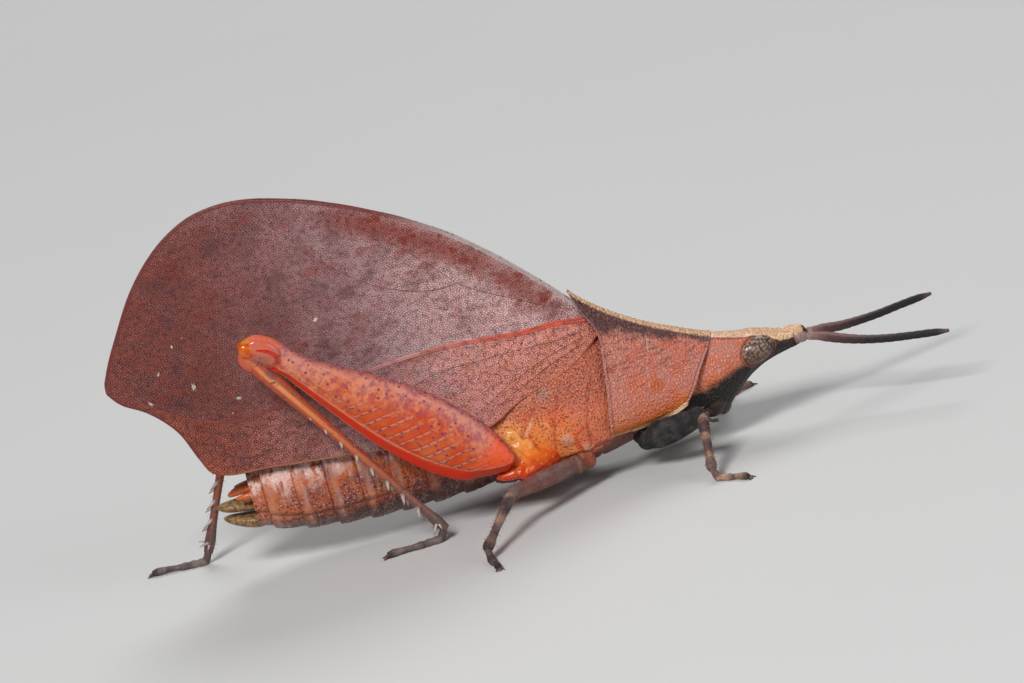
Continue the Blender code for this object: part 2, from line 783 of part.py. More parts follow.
def eye(name, side, collection):
    """An oval eye that stands out from the side of the head."""
    tilt = Matrix.Rotation(math.radians(EYE_TILT), 3, "Y")
    return ellipsoid(name, on_side(EYE_CENTRE, side), EYE_RADII, tilt, EYE_BALL, "eye", collection)


def antenna(name, side, collection):
    """A sword-shaped feeler of the head, flattened and tapered."""
    joints = [Joint(on_side((x, y, z), side), up, up, half, 2.4) for x, y, z, up, half in ANTENNA]
    return limb_loft(name, joints, (0, 0, 1), 8, "antenna", collection)


def pronotum(collection):
    """The roof-shaped shield behind the head, with its crest drawn back into a point."""
    shield = body_loft("pronotum", PRONOTUM, PRONOTUM_SIDES, "pronotum", collection)
    side_view = prism("side_view", PRONOTUM_SIDE, CUT_HALF_WIDTH, "pronotum", collection)
    return combine(shield, [side_view], "INTERSECT")


def thorax(collection):
    """The body under the shield and the wing roots."""
    return body_loft("thorax", THORAX, THORAX_SIDES, "thorax", collection)


def abdomen(collection):
    """The ringed hind body, each ring a little wider at its rear edge."""
    stations = []
    x = WAIST_X
    while x > ABDOMEN_END_X + SEGMENT_LENGTH * 0.4:
        rear = max(x - SEGMENT_LENGTH, ABDOMEN_END_X)
        for share, step in SEGMENT_PROFILE:
            stations.append(scaled_ring(ring_at(ABDOMEN, between(x, rear, share)), 1 + step))
        x = rear
    stations.append(scaled_ring(ring_at(ABDOMEN, ABDOMEN_END_X), 0.9))
    return body_loft("abdomen", stations, ABDOMEN_SIDES, "abdomen", collection)


def scaled_ring(ring, growth):
    """A section made larger or smaller about its middle."""
    return Ring(
        ring.x,
        ring.wide - (ring.wide - ring.low) * growth,
        ring.wide,
        ring.wide + (ring.high - ring.wide) * growth,
        ring.half * growth,
        ring.n_low,
        ring.n_high,
    )


def offset(outline, by):
    """A closed outline of (x, z) points moved outwards by a distance."""
    area = sum(a[0] * b[1] - b[0] * a[1] for a, b in zip(outline, outline[1:] + outline[:1]))
    outwards = by if area > 0 else -by
    moved = []
    for i, point in enumerate(outline):
        before, after = Vector(outline[i - 1]), Vector(outline[(i + 1) % len(outline)])
        run = (after - before).normalized()
        moved.append((point[0] + run.y * outwards, point[1] - run.x * outwards))
    return moved


def tail_pieces(collection):
    """The plate over the end of the abdomen, the egg-laying valves, and the two cerci."""
    for name, sections in (
        ("epiproct", EPIPROCT), ("ovipositor_upper", UPPER_VALVE), ("ovipositor_lower", LOWER_VALVE)
    ):
        joints = [Joint((x, 0, z), up, down, half) for x, z, up, down, half in sections]
        limb_loft(name, joints, (0, 0, 1), 10, "valves", collection)
    for name, side in SIDES.items():
        round_limb("cercus_" + name, CERCUS, side, 6, "valves", collection)


def hind_femur(name, side, collection):
    """The long jumping thigh, deep near the hip and narrow before the knee."""
    base, knee = Vector(on_side(HIND_BASE, side)), Vector(on_side(HIND_KNEES[name], side))
    axis = (knee - base).normalized()
    joints = [
        Joint(tuple(base + axis * along), up, down, half, HIND_FEMUR_SQUARENESS)
        for along, up, down, half in HIND_FEMUR
    ]
    return limb_loft("femur_hind_" + name, joints, HIND_FEMUR_UP, 14, "hind_leg", collection)


def hind_tibia(name, side, collection):
    """The hind shin, and the two rows of spines and the spurs to join to it."""
    start = Vector(on_side(HIND_KNEES[name], side)) + Vector(HIND_SHIN_START)
    run = Vector(on_side(HIND_ANKLES[name], side)) - start
    down = run.normalized()
    back = Vector((run.z, 0, -run.x)).normalized()
    joints = [Joint(tuple(start + run * share), radius, radius, radius * 0.9) for share, radius in HIND_SHIN]
    shin = limb_loft("tibia_hind_" + name, joints, tuple(back), 8, "hind_leg", collection)
    spines = []
    for row in (-1, 1):
        across = Vector((0, row, 0))
        for k in range(SPINE_COUNT):
            along = k / (SPINE_COUNT - 1)
            share = between(*SPINE_SHARES, along) + SPINE_STAGGER * row
            root = start + run * share + across * SPINE_APART
            tip = root + leaning(SPINE_LEAN, back, down, across) * between(*SPINE_LENGTHS, along)
            spines.append(cone(f"spine_{k}_{row}", root, tip, SPINE_ROOT, "hind_leg", collection))
        root = start + run * SPUR_SHARE + across * SPINE_APART
        tip = root + leaning(SPUR_LEAN, back, down, across)
        spines.append(cone(f"spur_{row}", root, tip, SPINE_ROOT, "hind_leg", collection))
    return shin, spines


def leaning(lean, *directions):
    """The direction that leans by the given shares towards three others."""
    return sum((direction * share for share, direction in zip(lean, directions)), Vector()).normalized()


def foot(name, ankle, toe, kind, collection):
    """A foot of three pads and two claws, flat underneath on the floor."""
    ankle, toe, size, slot = Vector(ankle), Vector(toe), FOOT[kind], kind + "_leg"
    run = toe - ankle
    level = Vector((run.x, run.y, 0)).normalized()
    across = Vector((-level.y, level.x, 0))
    joints = [
        Joint((ankle.x + run.x * share, ankle.y + run.y * share, size * rise), *(size * thick,) * 3)
        for share, rise, thick in FOOT_PROFILE
    ]
    base = limb_loft(name, joints, (0, 0, 1), 8, slot, collection)
    pieces = []
    for row in (-1, 1):
        root = toe - level * size * CLAW_BACK
        tip = root + (level * CLAW_REACH + across * row * CLAW_SPREAD) * size
        root.z, tip.z = (size * height for height in CLAW_HEIGHTS)
        pieces.append(cone(f"claw_{row}", root, tip, size * CLAW_ROOT, slot, collection, CLAW_TIP))
    radii, centre = Vector(PAD_RADII) * size, (toe.x, toe.y, size * PAD_HEIGHT)
    pieces.append(ellipsoid("pad", centre, radii, Matrix.Identity(3), PAD_BALL, slot, collection))
    return flattened(combine(base, pieces, "UNION"))


def flattened(obj):
    """Cuts off what lies under the floor, so the foot stands on a flat."""
    bm = bmesh.new()
    bm.from_mesh(obj.data)
    everything = bm.verts[:] + bm.edges[:] + bm.faces[:]
    bmesh.ops.bisect_plane(bm, geom=everything, plane_co=(0, 0, 0), plane_no=(0, 0, -1), clear_outer=True)
    bmesh.ops.holes_fill(bm, edges=[edge for edge in bm.edges if edge.is_boundary])
    bmesh.ops.recalc_face_normals(bm, faces=bm.faces)
    bm.to_mesh(obj.data)
    bm.free()
    return obj


def small_leg(kind, name, side, collection):
    """A middle or front leg: hip, thigh, shin and foot, each its own piece, with no spines."""
    hip, hinge, knee, ankle, toe = (Vector(on_side(point, side)) for point in SMALL_LEGS[kind][name])
    slot, label = kind + "_leg", f"{kind}_{name}"
    centres = (hip, hinge, between(hinge, knee, 0.06))
    coxa_joints = [Joint(tuple(at), radius, radius, radius) for at, radius in zip(centres, COXA_RADII)]
    coxa = limb_loft("coxa_" + label, coxa_joints, (0, 0, 1), 10, slot, collection)
    femur_joints = profile(hinge, knee, THIGH[kind], THIGH_PROFILE, 0.85)
    femur = limb_loft("femur_" + label, femur_joints, (0, 0, 1), 10, slot, collection)
    tibia_joints = profile(knee, ankle, SHIN[kind], SHIN_PROFILE, 1.0)
    tibia = limb_loft("tibia_" + label, tibia_joints, (0, 0, 1), 8, slot, collection)
    return coxa, femur, tibia, foot("tarsus_" + label, ankle, toe, kind, collection), []


def profile(start, end, thick, shares, flatness):
    """The sections of a straight limb piece, from shares of its length and of its full thickness."""
    return [
        Joint(tuple(between(start, end, t)), thick * share, thick * share, thick * share * flatness)
        for t, share in shares
    ]


def hind_leg(name, side, collection):
    """A hind leg: hip, jumping thigh, spined shin and foot."""
    coxa = round_limb("coxa_hind_" + name, HIND_COXA, side, 12, "hind_leg", collection)
    femur = hind_femur(name, side, collection)
    tibia, spines = hind_tibia(name, side, collection)
    ankle, toe = on_side(HIND_ANKLES[name], side), on_side(HIND_TOES[name], side)
    return coxa, femur, tibia, foot("tarsus_hind_" + name, ankle, toe, "hind", collection), spines


def join_limb(coxa, femur, tibia, toes, spines, trunk_room):
    """Cuts each piece of a leg clear of the one before it, then joins the spines to the shin."""
    coxa_room, femur_room, tibia_room = grown(coxa), grown(femur), grown(tibia)
    carve(coxa, [duplicate(trunk_room)])
    carve(femur, [coxa_room])
    carve(tibia, [femur_room])
    carve(toes, [tibia_room])
    if spines:
        combine(tibia, spines, "UNION")


def build():
    """Makes every piece, cuts each clear of what it meets, and shades it."""
    for old in list(bpy.data.objects):
        bpy.data.objects.remove(old)
    collection = bpy.data.collections.new("leaf_grasshopper")
    bpy.context.scene.collection.children.link(collection)

    pronotum(collection)
    room = offset(PRONOTUM_SIDE, GAP)
    trunk = thorax(collection)
    trunk_room = grown(trunk)
    carve(trunk, [prism("shield_room", room, CUT_HALF_WIDTH, "thorax", collection)])
    skull = carve(head(collection), [prism("shield_room", room, CUT_HALF_WIDTH, "head", collection)])
    abdomen(collection)
    tail_pieces(collection)

    for name, side in SIDES.items():
        carve(skull, [grown(eye("eye_" + name, side, collection))])
        antenna("antenna_" + name, side, collection)
        tegmen("tegmen_" + name, side, collection)
        for limb in (hind_leg(name, side, collection),
                     small_leg("mid", name, side, collection),
                     small_leg("fore", name, side, collection)):
            join_limb(*limb, trunk_room)
    bpy.data.objects.remove(trunk_room)
    for obj in collection.objects:
        centre_origin(obj)
        smooth_shade(obj)


build()
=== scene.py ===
"""Dresses the solids of a leaf grasshopper, a standing female at life size.

Every piece is modelled in millimetres, in the frame's own axes: +X towards the head,
+Y to the insect's left, +Z up, with the floor at zero. It is made metres when it is finished.
"""

from __future__ import annotations

import logging
import math
import sys
from contextlib import contextmanager
from dataclasses import dataclass
from enum import Enum
from typing import Any, Callable, Iterator, Sequence

import bpy
import numpy as np
from mathutils import Matrix, Vector


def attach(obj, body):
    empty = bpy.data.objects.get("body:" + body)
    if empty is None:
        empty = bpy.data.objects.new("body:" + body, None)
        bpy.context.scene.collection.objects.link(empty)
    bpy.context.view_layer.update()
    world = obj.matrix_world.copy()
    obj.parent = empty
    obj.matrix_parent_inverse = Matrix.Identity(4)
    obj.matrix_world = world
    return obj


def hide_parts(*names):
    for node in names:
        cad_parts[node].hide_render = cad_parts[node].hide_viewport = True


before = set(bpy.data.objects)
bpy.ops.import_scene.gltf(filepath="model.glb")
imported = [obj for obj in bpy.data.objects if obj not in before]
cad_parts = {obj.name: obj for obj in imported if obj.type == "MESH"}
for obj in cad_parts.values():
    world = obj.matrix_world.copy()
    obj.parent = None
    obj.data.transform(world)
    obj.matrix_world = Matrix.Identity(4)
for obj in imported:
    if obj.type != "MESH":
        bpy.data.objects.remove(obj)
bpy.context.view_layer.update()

Points = np.ndarray
Piece = bpy.types.Object
Socket = bpy.types.NodeSocket
Row = Sequence[float]

log = logging.getLogger("leaf_grasshopper")

MM = 0.001
BODY = "root"

HAIR_RADIUS = 0.016
HAIR_ROOT = 0.02
HAIR_STRAY = 0.15
SHORTEST_HAIR = 0.55

# The mix node's sockets for colours, which have the same names as its sockets for numbers.
MIX_A = 6
MIX_B = 7
MIX_RESULT = 2


class Side(Enum):
    """The insect's two sides, each by the sign of y there."""

    RIGHT = -1
    LEFT = 1

    @property
    def label(self) -> str:
        """The side's name in the node names."""
        return self.name.lower()


class Leg(Enum):
    """The three kinds of leg, by their names in the nodes."""

    FORE = "fore"
    MID = "mid"
    HIND = "hind"

    @property
    def slot(self) -> str:
        """The record's material slot for this kind of leg."""
        return f"{self.value}_leg"


def eased(table: Sequence[Row], at: Points) -> Points:
    """Smooth values of a table at places along its first column.

    Args:
        table: Rows that start with the place, in rising or falling order.
        at: The places wanted.

    Returns:
        One row of the other columns for each place.
    """
    rows = np.array(table, float)
    rows = rows[np.argsort(rows[:, 0])]
    places, values = rows[:, 0], rows[:, 1:]
    slopes = np.gradient(values, places, axis=0)
    at = np.atleast_1d(np.asarray(at, float))
    k = np.clip(np.searchsorted(places, at) - 1, 0, len(places) - 2)
    run = (places[k + 1] - places[k])[:, None]
    t = np.clip((at - places[k]) / run[:, 0], 0, 1)[:, None]
    start, end = values[k], values[k + 1]
    return (
        start * (2 * t**3 - 3 * t**2 + 1)
        + end * (3 * t**2 - 2 * t**3)
        + slopes[k] * run * (t**3 - 2 * t**2 + t)
        + slopes[k + 1] * run * (t**3 - t**2)
    )


def rise(value: Points, low: float, high: float) -> Points:
    """A soft rise from 0 at low to 1 at high."""
    t = np.clip((np.asarray(value, float) - low) / (high - low), 0, 1)
    return t * t * (3 - 2 * t)


def hump(distance: Points, width: float) -> Points:
    """A smooth hump of height 1 that has gone at about twice its width."""
    return np.exp(-((distance / width) ** 2))


def line_distance(points: Points, line: Sequence[Row]) -> Points:
    """How far points in a plane are from a line.

    Args:
        points: Places, one (x, z) row each.
        line: The line's corners in order.

    Returns:
        One distance for each place.
    """
    best = np.full(len(points), np.inf)
    corners = np.array(line, float)
    for a, b in zip(corners, corners[1:]):
        run = b - a
        t = np.clip((points - a) @ run / max(run @ run, 1e-9), 0, 1)
        best = np.minimum(best, np.linalg.norm(points - a - t[:, None] * run, axis=1))
    return best


def smooth_line(line: Sequence[Row], steps: int = 6) -> Points:
    """A line of places rounded through its own corners.

    Args:
        line: The line's corners.
        steps: Places for each of its lengths.

    Returns:
        The places.
    """
    corners = np.array(line, float)
    lengths = np.concatenate([[0], np.cumsum(np.linalg.norm(np.diff(corners, axis=0), axis=1))])
    table = np.column_stack([lengths, corners])
    return eased(table, np.linspace(0, lengths[-1], steps * (len(corners) - 1) + 1))


def nearest(points: Points, *lines: Sequence[Row]) -> Points:
    """How far points in a plane are from the nearest of some rounded lines."""
    return np.min([line_distance(points, smooth_line(line)) for line in lines], axis=0)


def power(value: Points, exponent: Points | float) -> Points:
    """The value's size raised to the exponent, with its sign kept."""
    return np.sign(value) * np.abs(value) ** exponent


def clear_selection() -> None:
    """Leaves nothing selected, in object mode."""
    if bpy.context.mode != "OBJECT":
        bpy.ops.object.mode_set(mode="OBJECT")
    bpy.ops.object.select_all(action="DESELECT")


def choose(piece: Piece) -> None:
    """Selects one piece alone and makes it active.

    Args:
        piece: The piece.
    """
    clear_selection()
    piece.select_set(True)
    bpy.context.view_layer.objects.active = piece


@contextmanager
def editing(piece: Piece) -> Iterator[None]:
    """Holds a piece open for editing, with all of it selected.

    Args:
        piece: The piece to open.

    Returns:
        Nothing, and the piece is closed at the end.
    """
    choose(piece)
    bpy.ops.object.mode_set(mode="EDIT")
    bpy.ops.mesh.select_all(action="SELECT")
    yield
    bpy.ops.object.mode_set(mode="OBJECT")


def corners_of(piece: Piece) -> Points:
    """The piece's mesh points, one row each.

    Args:
        piece: The piece.

    Returns:
        The points.
    """
    flat = np.empty(len(piece.data.vertices) * 3)
    piece.data.vertices.foreach_get("co", flat)
    return flat.reshape(-1, 3)


def lay(piece: Piece, points: Points) -> None:
    """Moves the piece's mesh points to the given places."""
    piece.data.vertices.foreach_set("co", np.ascontiguousarray(points, float).ravel())
    piece.data.update()


def normals_of(piece: Piece) -> Points:
    """The way each of the piece's mesh points faces.

    Args:
        piece: The piece.

    Returns:
        The ways, one long.
    """
    flat = np.empty(len(piece.data.vertices) * 3)
    piece.data.vertex_normals.foreach_get("vector", flat)
    return flat.reshape(-1, 3)


def lift(piece: Piece, heights: Points) -> None:
    """Moves each mesh point out along its normal."""
    lay(piece, corners_of(piece) + normals_of(piece) * heights[:, None])


def note(piece: Piece, name: str, *values: Points) -> None:
    """Writes numbers at each mesh point for a finish to read.

    Args:
        piece: The piece.
        name: The name that the finish asks for.
        values: Up to three numbers for each point.
    """
    made = piece.data.attributes.new(name, "FLOAT_VECTOR", "POINT")
    table = np.zeros((len(piece.data.vertices), 3))
    for column, row in enumerate(values):
        table[:, column] = row
    made.data.foreach_set("vector", table.ravel())


def close_up(piece: Piece, weld: float = 1e-4) -> None:
    """Welds a piece's touching points, fills its open ends and turns its faces outwards.

    Args:
        piece: The piece.
        weld: How near points count as touching.
    """
    with editing(piece):
        bpy.ops.mesh.remove_doubles(threshold=weld)
        bpy.ops.mesh.fill_holes(sides=0)
        bpy.ops.mesh.select_all(action="SELECT")
        bpy.ops.mesh.normals_make_consistent(inside=False)


def finish_with(piece: Piece, kind: str, **settings: Any) -> None:
    """Adds a modifier to a piece and applies it.

    Args:
        piece: The piece to change.
        kind: Blender's name for the modifier.
        settings: The modifier's own settings.
    """
    choose(piece)
    modifier = piece.modifiers.new(kind.lower(), kind)
    for name, value in settings.items():
        setattr(modifier, name, value)
    bpy.ops.object.modifier_apply(modifier=modifier.name)


def rounder(piece: Piece, levels: int = 1) -> None:
    """Subdivides a piece smoothly."""
    finish_with(piece, "SUBSURF", levels=levels, render_levels=levels)


def wrapped_sheet(name: str, columns: int, rows: int, place: Callable[[Points, Points], Points]) -> Piece:
    """A grid laid over a surface.

    Args:
        name: The piece's name.
        columns: Faces along the surface.
        rows: Faces across it.
        place: Gives the surface's places from shares along and across, each from 0 to 1.

    Returns:
        The piece, open where its edges don't meet.
    """
    clear_selection()
    bpy.ops.mesh.primitive_grid_add(x_subdivisions=columns, y_subdivisions=rows, size=1.0)
    piece = bpy.context.active_object
    piece.name = name
    flat = corners_of(piece)
    lay(piece, place(flat[:, 0] + 0.5, flat[:, 1] + 0.5))
    return piece


def tube(name: str, rings: Points) -> Piece:
    """A closed tube: a disc extruded once for each ring, and its corners laid on the rings.

    Args:
        name: The piece's name.
        rings: Places by ring and by turn round it, as an array of rings x sides x 3.

    Returns:
        The piece, with both ends closed.
    """
    count, sides = rings.shape[:2]
    clear_selection()
    bpy.ops.mesh.primitive_circle_add(vertices=sides, radius=1.0, fill_type="NGON")
    piece = bpy.context.active_object
    piece.name = name
    with editing(piece):
        for _ in range(count - 1):
            bpy.ops.mesh.extrude_region_move(TRANSFORM_OT_translate={"value": (0, 0, 1)})
    raw = corners_of(piece)
    ring = np.clip(np.rint(raw[:, 2]).astype(int), 0, count - 1)
    angle = np.arctan2(raw[:, 1], raw[:, 0])
    turn = np.rint((angle - angle[0]) / (2 * math.pi / sides)).astype(int) % sides
    lay(piece, rings[ring, turn])
    close_up(piece, 1e-5)
    return piece


def limb_rings(
    path: Points, ups: Points, downs: Points, halves: Points, up: Row, sides: int, squareness: float = 2.0
) -> Points:
    """The rings of a limb along a path.

    Args:
        path: The middle of each ring.
        ups: Each ring's depth above the path.
        downs: Each ring's depth below it.
        halves: Each ring's half thickness across.
        up: The way that counts as up.
        sides: Corners of a ring.
        squareness: 2 is round, more is squarer.

    Returns:
        An array of rings x sides x 3.
    """
    steps = np.gradient(path, axis=0)
    steps /= np.linalg.norm(steps, axis=1)[:, None]
    across = np.cross(steps, np.array(up, float))
    across /= np.linalg.norm(across, axis=1)[:, None]
    top = np.cross(across, steps)
    angles = 2 * math.pi * np.arange(sides) / sides
    c, s = power(np.cos(angles), 2 / squareness), power(np.sin(angles), 2 / squareness)
    depth = np.where(s[None, :] > 0, np.reshape(ups, (-1, 1)), np.reshape(downs, (-1, 1)))
    out = np.reshape(halves, (-1, 1)) * c[None, :]
    return (
        path[:, None, :]
        + across[:, None, :] * out[:, :, None]
        + top[:, None, :] * (depth * s[None, :])[:, :, None]
    )


def rod(name: str, path: Points, radii: Points | float, sides: int = 8, up: Row = (0, 0, 1)) -> Piece:
    """A round rod along a path, with a radius for each point of it."""
    radii = np.broadcast_to(np.asarray(radii, float), len(path))
    return tube(name, limb_rings(np.array(path, float), radii, radii, radii, up, sides))


def ball(name: str, centre: Row, radii: Row, turn: Matrix | None = None, detail: int = 24) -> Piece:
    """A ball stretched to three radii and turned.

    Args:
        name: The piece's name.
        centre: Its middle.
        radii: Its radii before it is turned.
        turn: How it is turned, or none.
        detail: Its number of segments.

    Returns:
        The piece.
    """
    clear_selection()
    bpy.ops.mesh.primitive_uv_sphere_add(segments=detail, ring_count=detail * 2 // 3, radius=1.0)
    piece = bpy.context.active_object
    piece.name = name
    with editing(piece):
        bpy.ops.transform.resize(value=tuple(radii))
    shape = Matrix.Translation(Vector(centre)) @ (turn.to_4x4() if turn else Matrix.Identity(4))
    piece.data.transform(shape)
    return piece


def joined(name: str, pieces: Sequence[Piece]) -> Piece:
    """Several pieces as one, under one name.

    Args:
        name: The name of the whole.
        pieces: The pieces.

    Returns:
        The whole.
    """
    clear_selection()
    for piece in pieces:
        piece.select_set(True)
    bpy.context.view_layer.objects.active = pieces[0]
    bpy.ops.object.join()
    pieces[0].name = name
    return pieces[0]


def mirrored(piece: Piece, name: str) -> Piece:
    """A copy of a piece on the other side of the body, with a mesh of its own.

    Args:
        piece: The piece.
        name: The copy's name.

    Returns:
        The copy.
    """
    choose(piece)
    bpy.ops.object.duplicate()
    copy = bpy.context.active_object
    copy.name = name
    copy.data.transform(Matrix.Scale(-1, 4, (0, 1, 0)))
    with editing(copy):
        bpy.ops.mesh.flip_normals()
    return copy


def scattered(name: str, model: Piece, placings: Sequence[Matrix]) -> Piece:
    """One mesh that holds a copy of a small model for each placing. The model is removed.

    Args:
        name: The piece's name.
        model: What is repeated, about 1 long from the origin up +Z.
        placings: Where each copy goes.

    Returns:
        The piece. Its attribute "share" holds each point's height in the model.
    """
    shape = corners_of(model)
    faces = [tuple(face.vertices) for face in model.data.polygons]
    points, sides, shares = [], [], []
    for k, place in enumerate(placings):
        matrix = np.array(place)
        points.append(shape @ matrix[:3, :3].T + matrix[:3, 3])
        sides.extend(tuple(corner + k * len(shape) for corner in face) for face in faces)
        shares.append(shape[:, 2])
    mesh = bpy.data.meshes.new(name)
    mesh.from_pydata(np.concatenate(points).tolist(), [], sides)
    mesh.update()
    bpy.data.objects.remove(model)
    piece = bpy.data.objects.new(name, mesh)
    bpy.context.scene.collection.objects.link(piece)
    note(piece, "share", np.concatenate(shares))
    return piece


def placing(root: Row, way: Row, length: float, width: float) -> Matrix:
    """The placing of a small model that stands at a root and points a given way."""
    turn = Vector(way).to_track_quat("Z", "Y").to_matrix().to_4x4()
    return Matrix.Translation(Vector(root)) @ turn @ Matrix.Diagonal((width, width, length, 1))


def bristles(
    name: str, skin: Piece, count: int, length: float, lean: Row, keep: Points, seed: int
) -> Piece:
    """Short hairs that stand on a skin.

    Args:
        name: The piece's name.
        skin: The piece they grow from.
        count: How many.
        length: The longest.
        lean: The way they lean, added to the skin's own outward way.
        keep: Which of the skin's points may carry one.
        seed: The number that settles where they stand.

    Returns:
        The piece.
    """
    chance = np.random.default_rng(seed)
    points = corners_of(skin)
    able = np.flatnonzero(keep)
    by_place = able[np.lexsort(np.round(points[able], 3).T)]
    where = chance.choice(by_place, min(count, len(able)), replace=False)
    roots, ways = points[where], normals_of(skin)[where]
    placings = []
    for root, way in zip(roots, ways):
        aim = way + np.array(lean) + chance.normal(0, HAIR_STRAY, 3)
        tall = length * chance.uniform(SHORTEST_HAIR, 1.0)
        placings.append(placing(root - way * HAIR_ROOT, aim, tall, HAIR_RADIUS))
    clear_selection()
    bpy.ops.mesh.primitive_cone_add(vertices=3, radius1=1, radius2=0.2, depth=1, location=(0, 0, 0.5))
    bpy.ops.object.transform_apply(location=True)
    return scattered(name, bpy.context.active_object, placings)


@dataclass(frozen=True)
class Hue:
    """A colour by its linear red, green and blue."""

    red: float
    green: float
    blue: float

    @property
    def rgba(self) -> tuple[float, float, float, float]:
        """The colour as a socket takes it."""
        return (self.red, self.green, self.blue, 1.0)


class Amount:
    """A number that varies over a piece, and the arithmetic on it."""

    def __init__(self, paint: Paint, socket: Socket) -> None:
        """Holds one output of a finish's nodes."""
        self.paint = paint
        self.socket = socket

    def __add__(self, other: Value) -> Amount:
        """The sum with another."""
        return self.paint.calc("ADD", self, other)

    def __radd__(self, other: float) -> Amount:
        """The sum with a plain number before it."""
        return self.paint.calc("ADD", other, self)

    def __sub__(self, other: Value) -> Amount:
        """What is left without another."""
        return self.paint.calc("SUBTRACT", self, other)

    def __rsub__(self, other: float) -> Amount:
        """What it leaves of a plain number."""
        return self.paint.calc("SUBTRACT", other, self)

    def __mul__(self, other: Value) -> Amount:
        """The product with another."""
        return self.paint.calc("MULTIPLY", self, other)

    def __truediv__(self, other: Value) -> Amount:
        """How often it holds another."""
        return self.paint.calc("DIVIDE", self, other)

    def wrapped(self) -> Amount:
        """What is over its last whole number."""
        return self.paint.calc("FRACT", self)

    def soft(self, low: float, high: float, top: float = 1.0) -> Amount:
        """A soft rise as this goes from one value to another.

        Args:
            low: Where the rise is still 0.
            high: Where it is full. Below low, the rise becomes a fall.
            top: What it is when full.

        Returns:
            The rise.
        """
        ends = {"Value": self, "From Min": low, "From Max": high, "To Min": 0.0, "To Max": top}
        made = self.paint.node("ShaderNodeMapRange", {"interpolation_type": "SMOOTHSTEP"}, ends)
        return Amount(self.paint, made.outputs["Result"])

    def band(self, middle: float, half: float, top: float = 1.0) -> Amount:
        """The top at the middle, fading to 0 a half width off."""
        return self.paint.calc("ABSOLUTE", self - middle).soft(half, 0.0, top)


Value = Amount | float
Tint = Socket | Hue


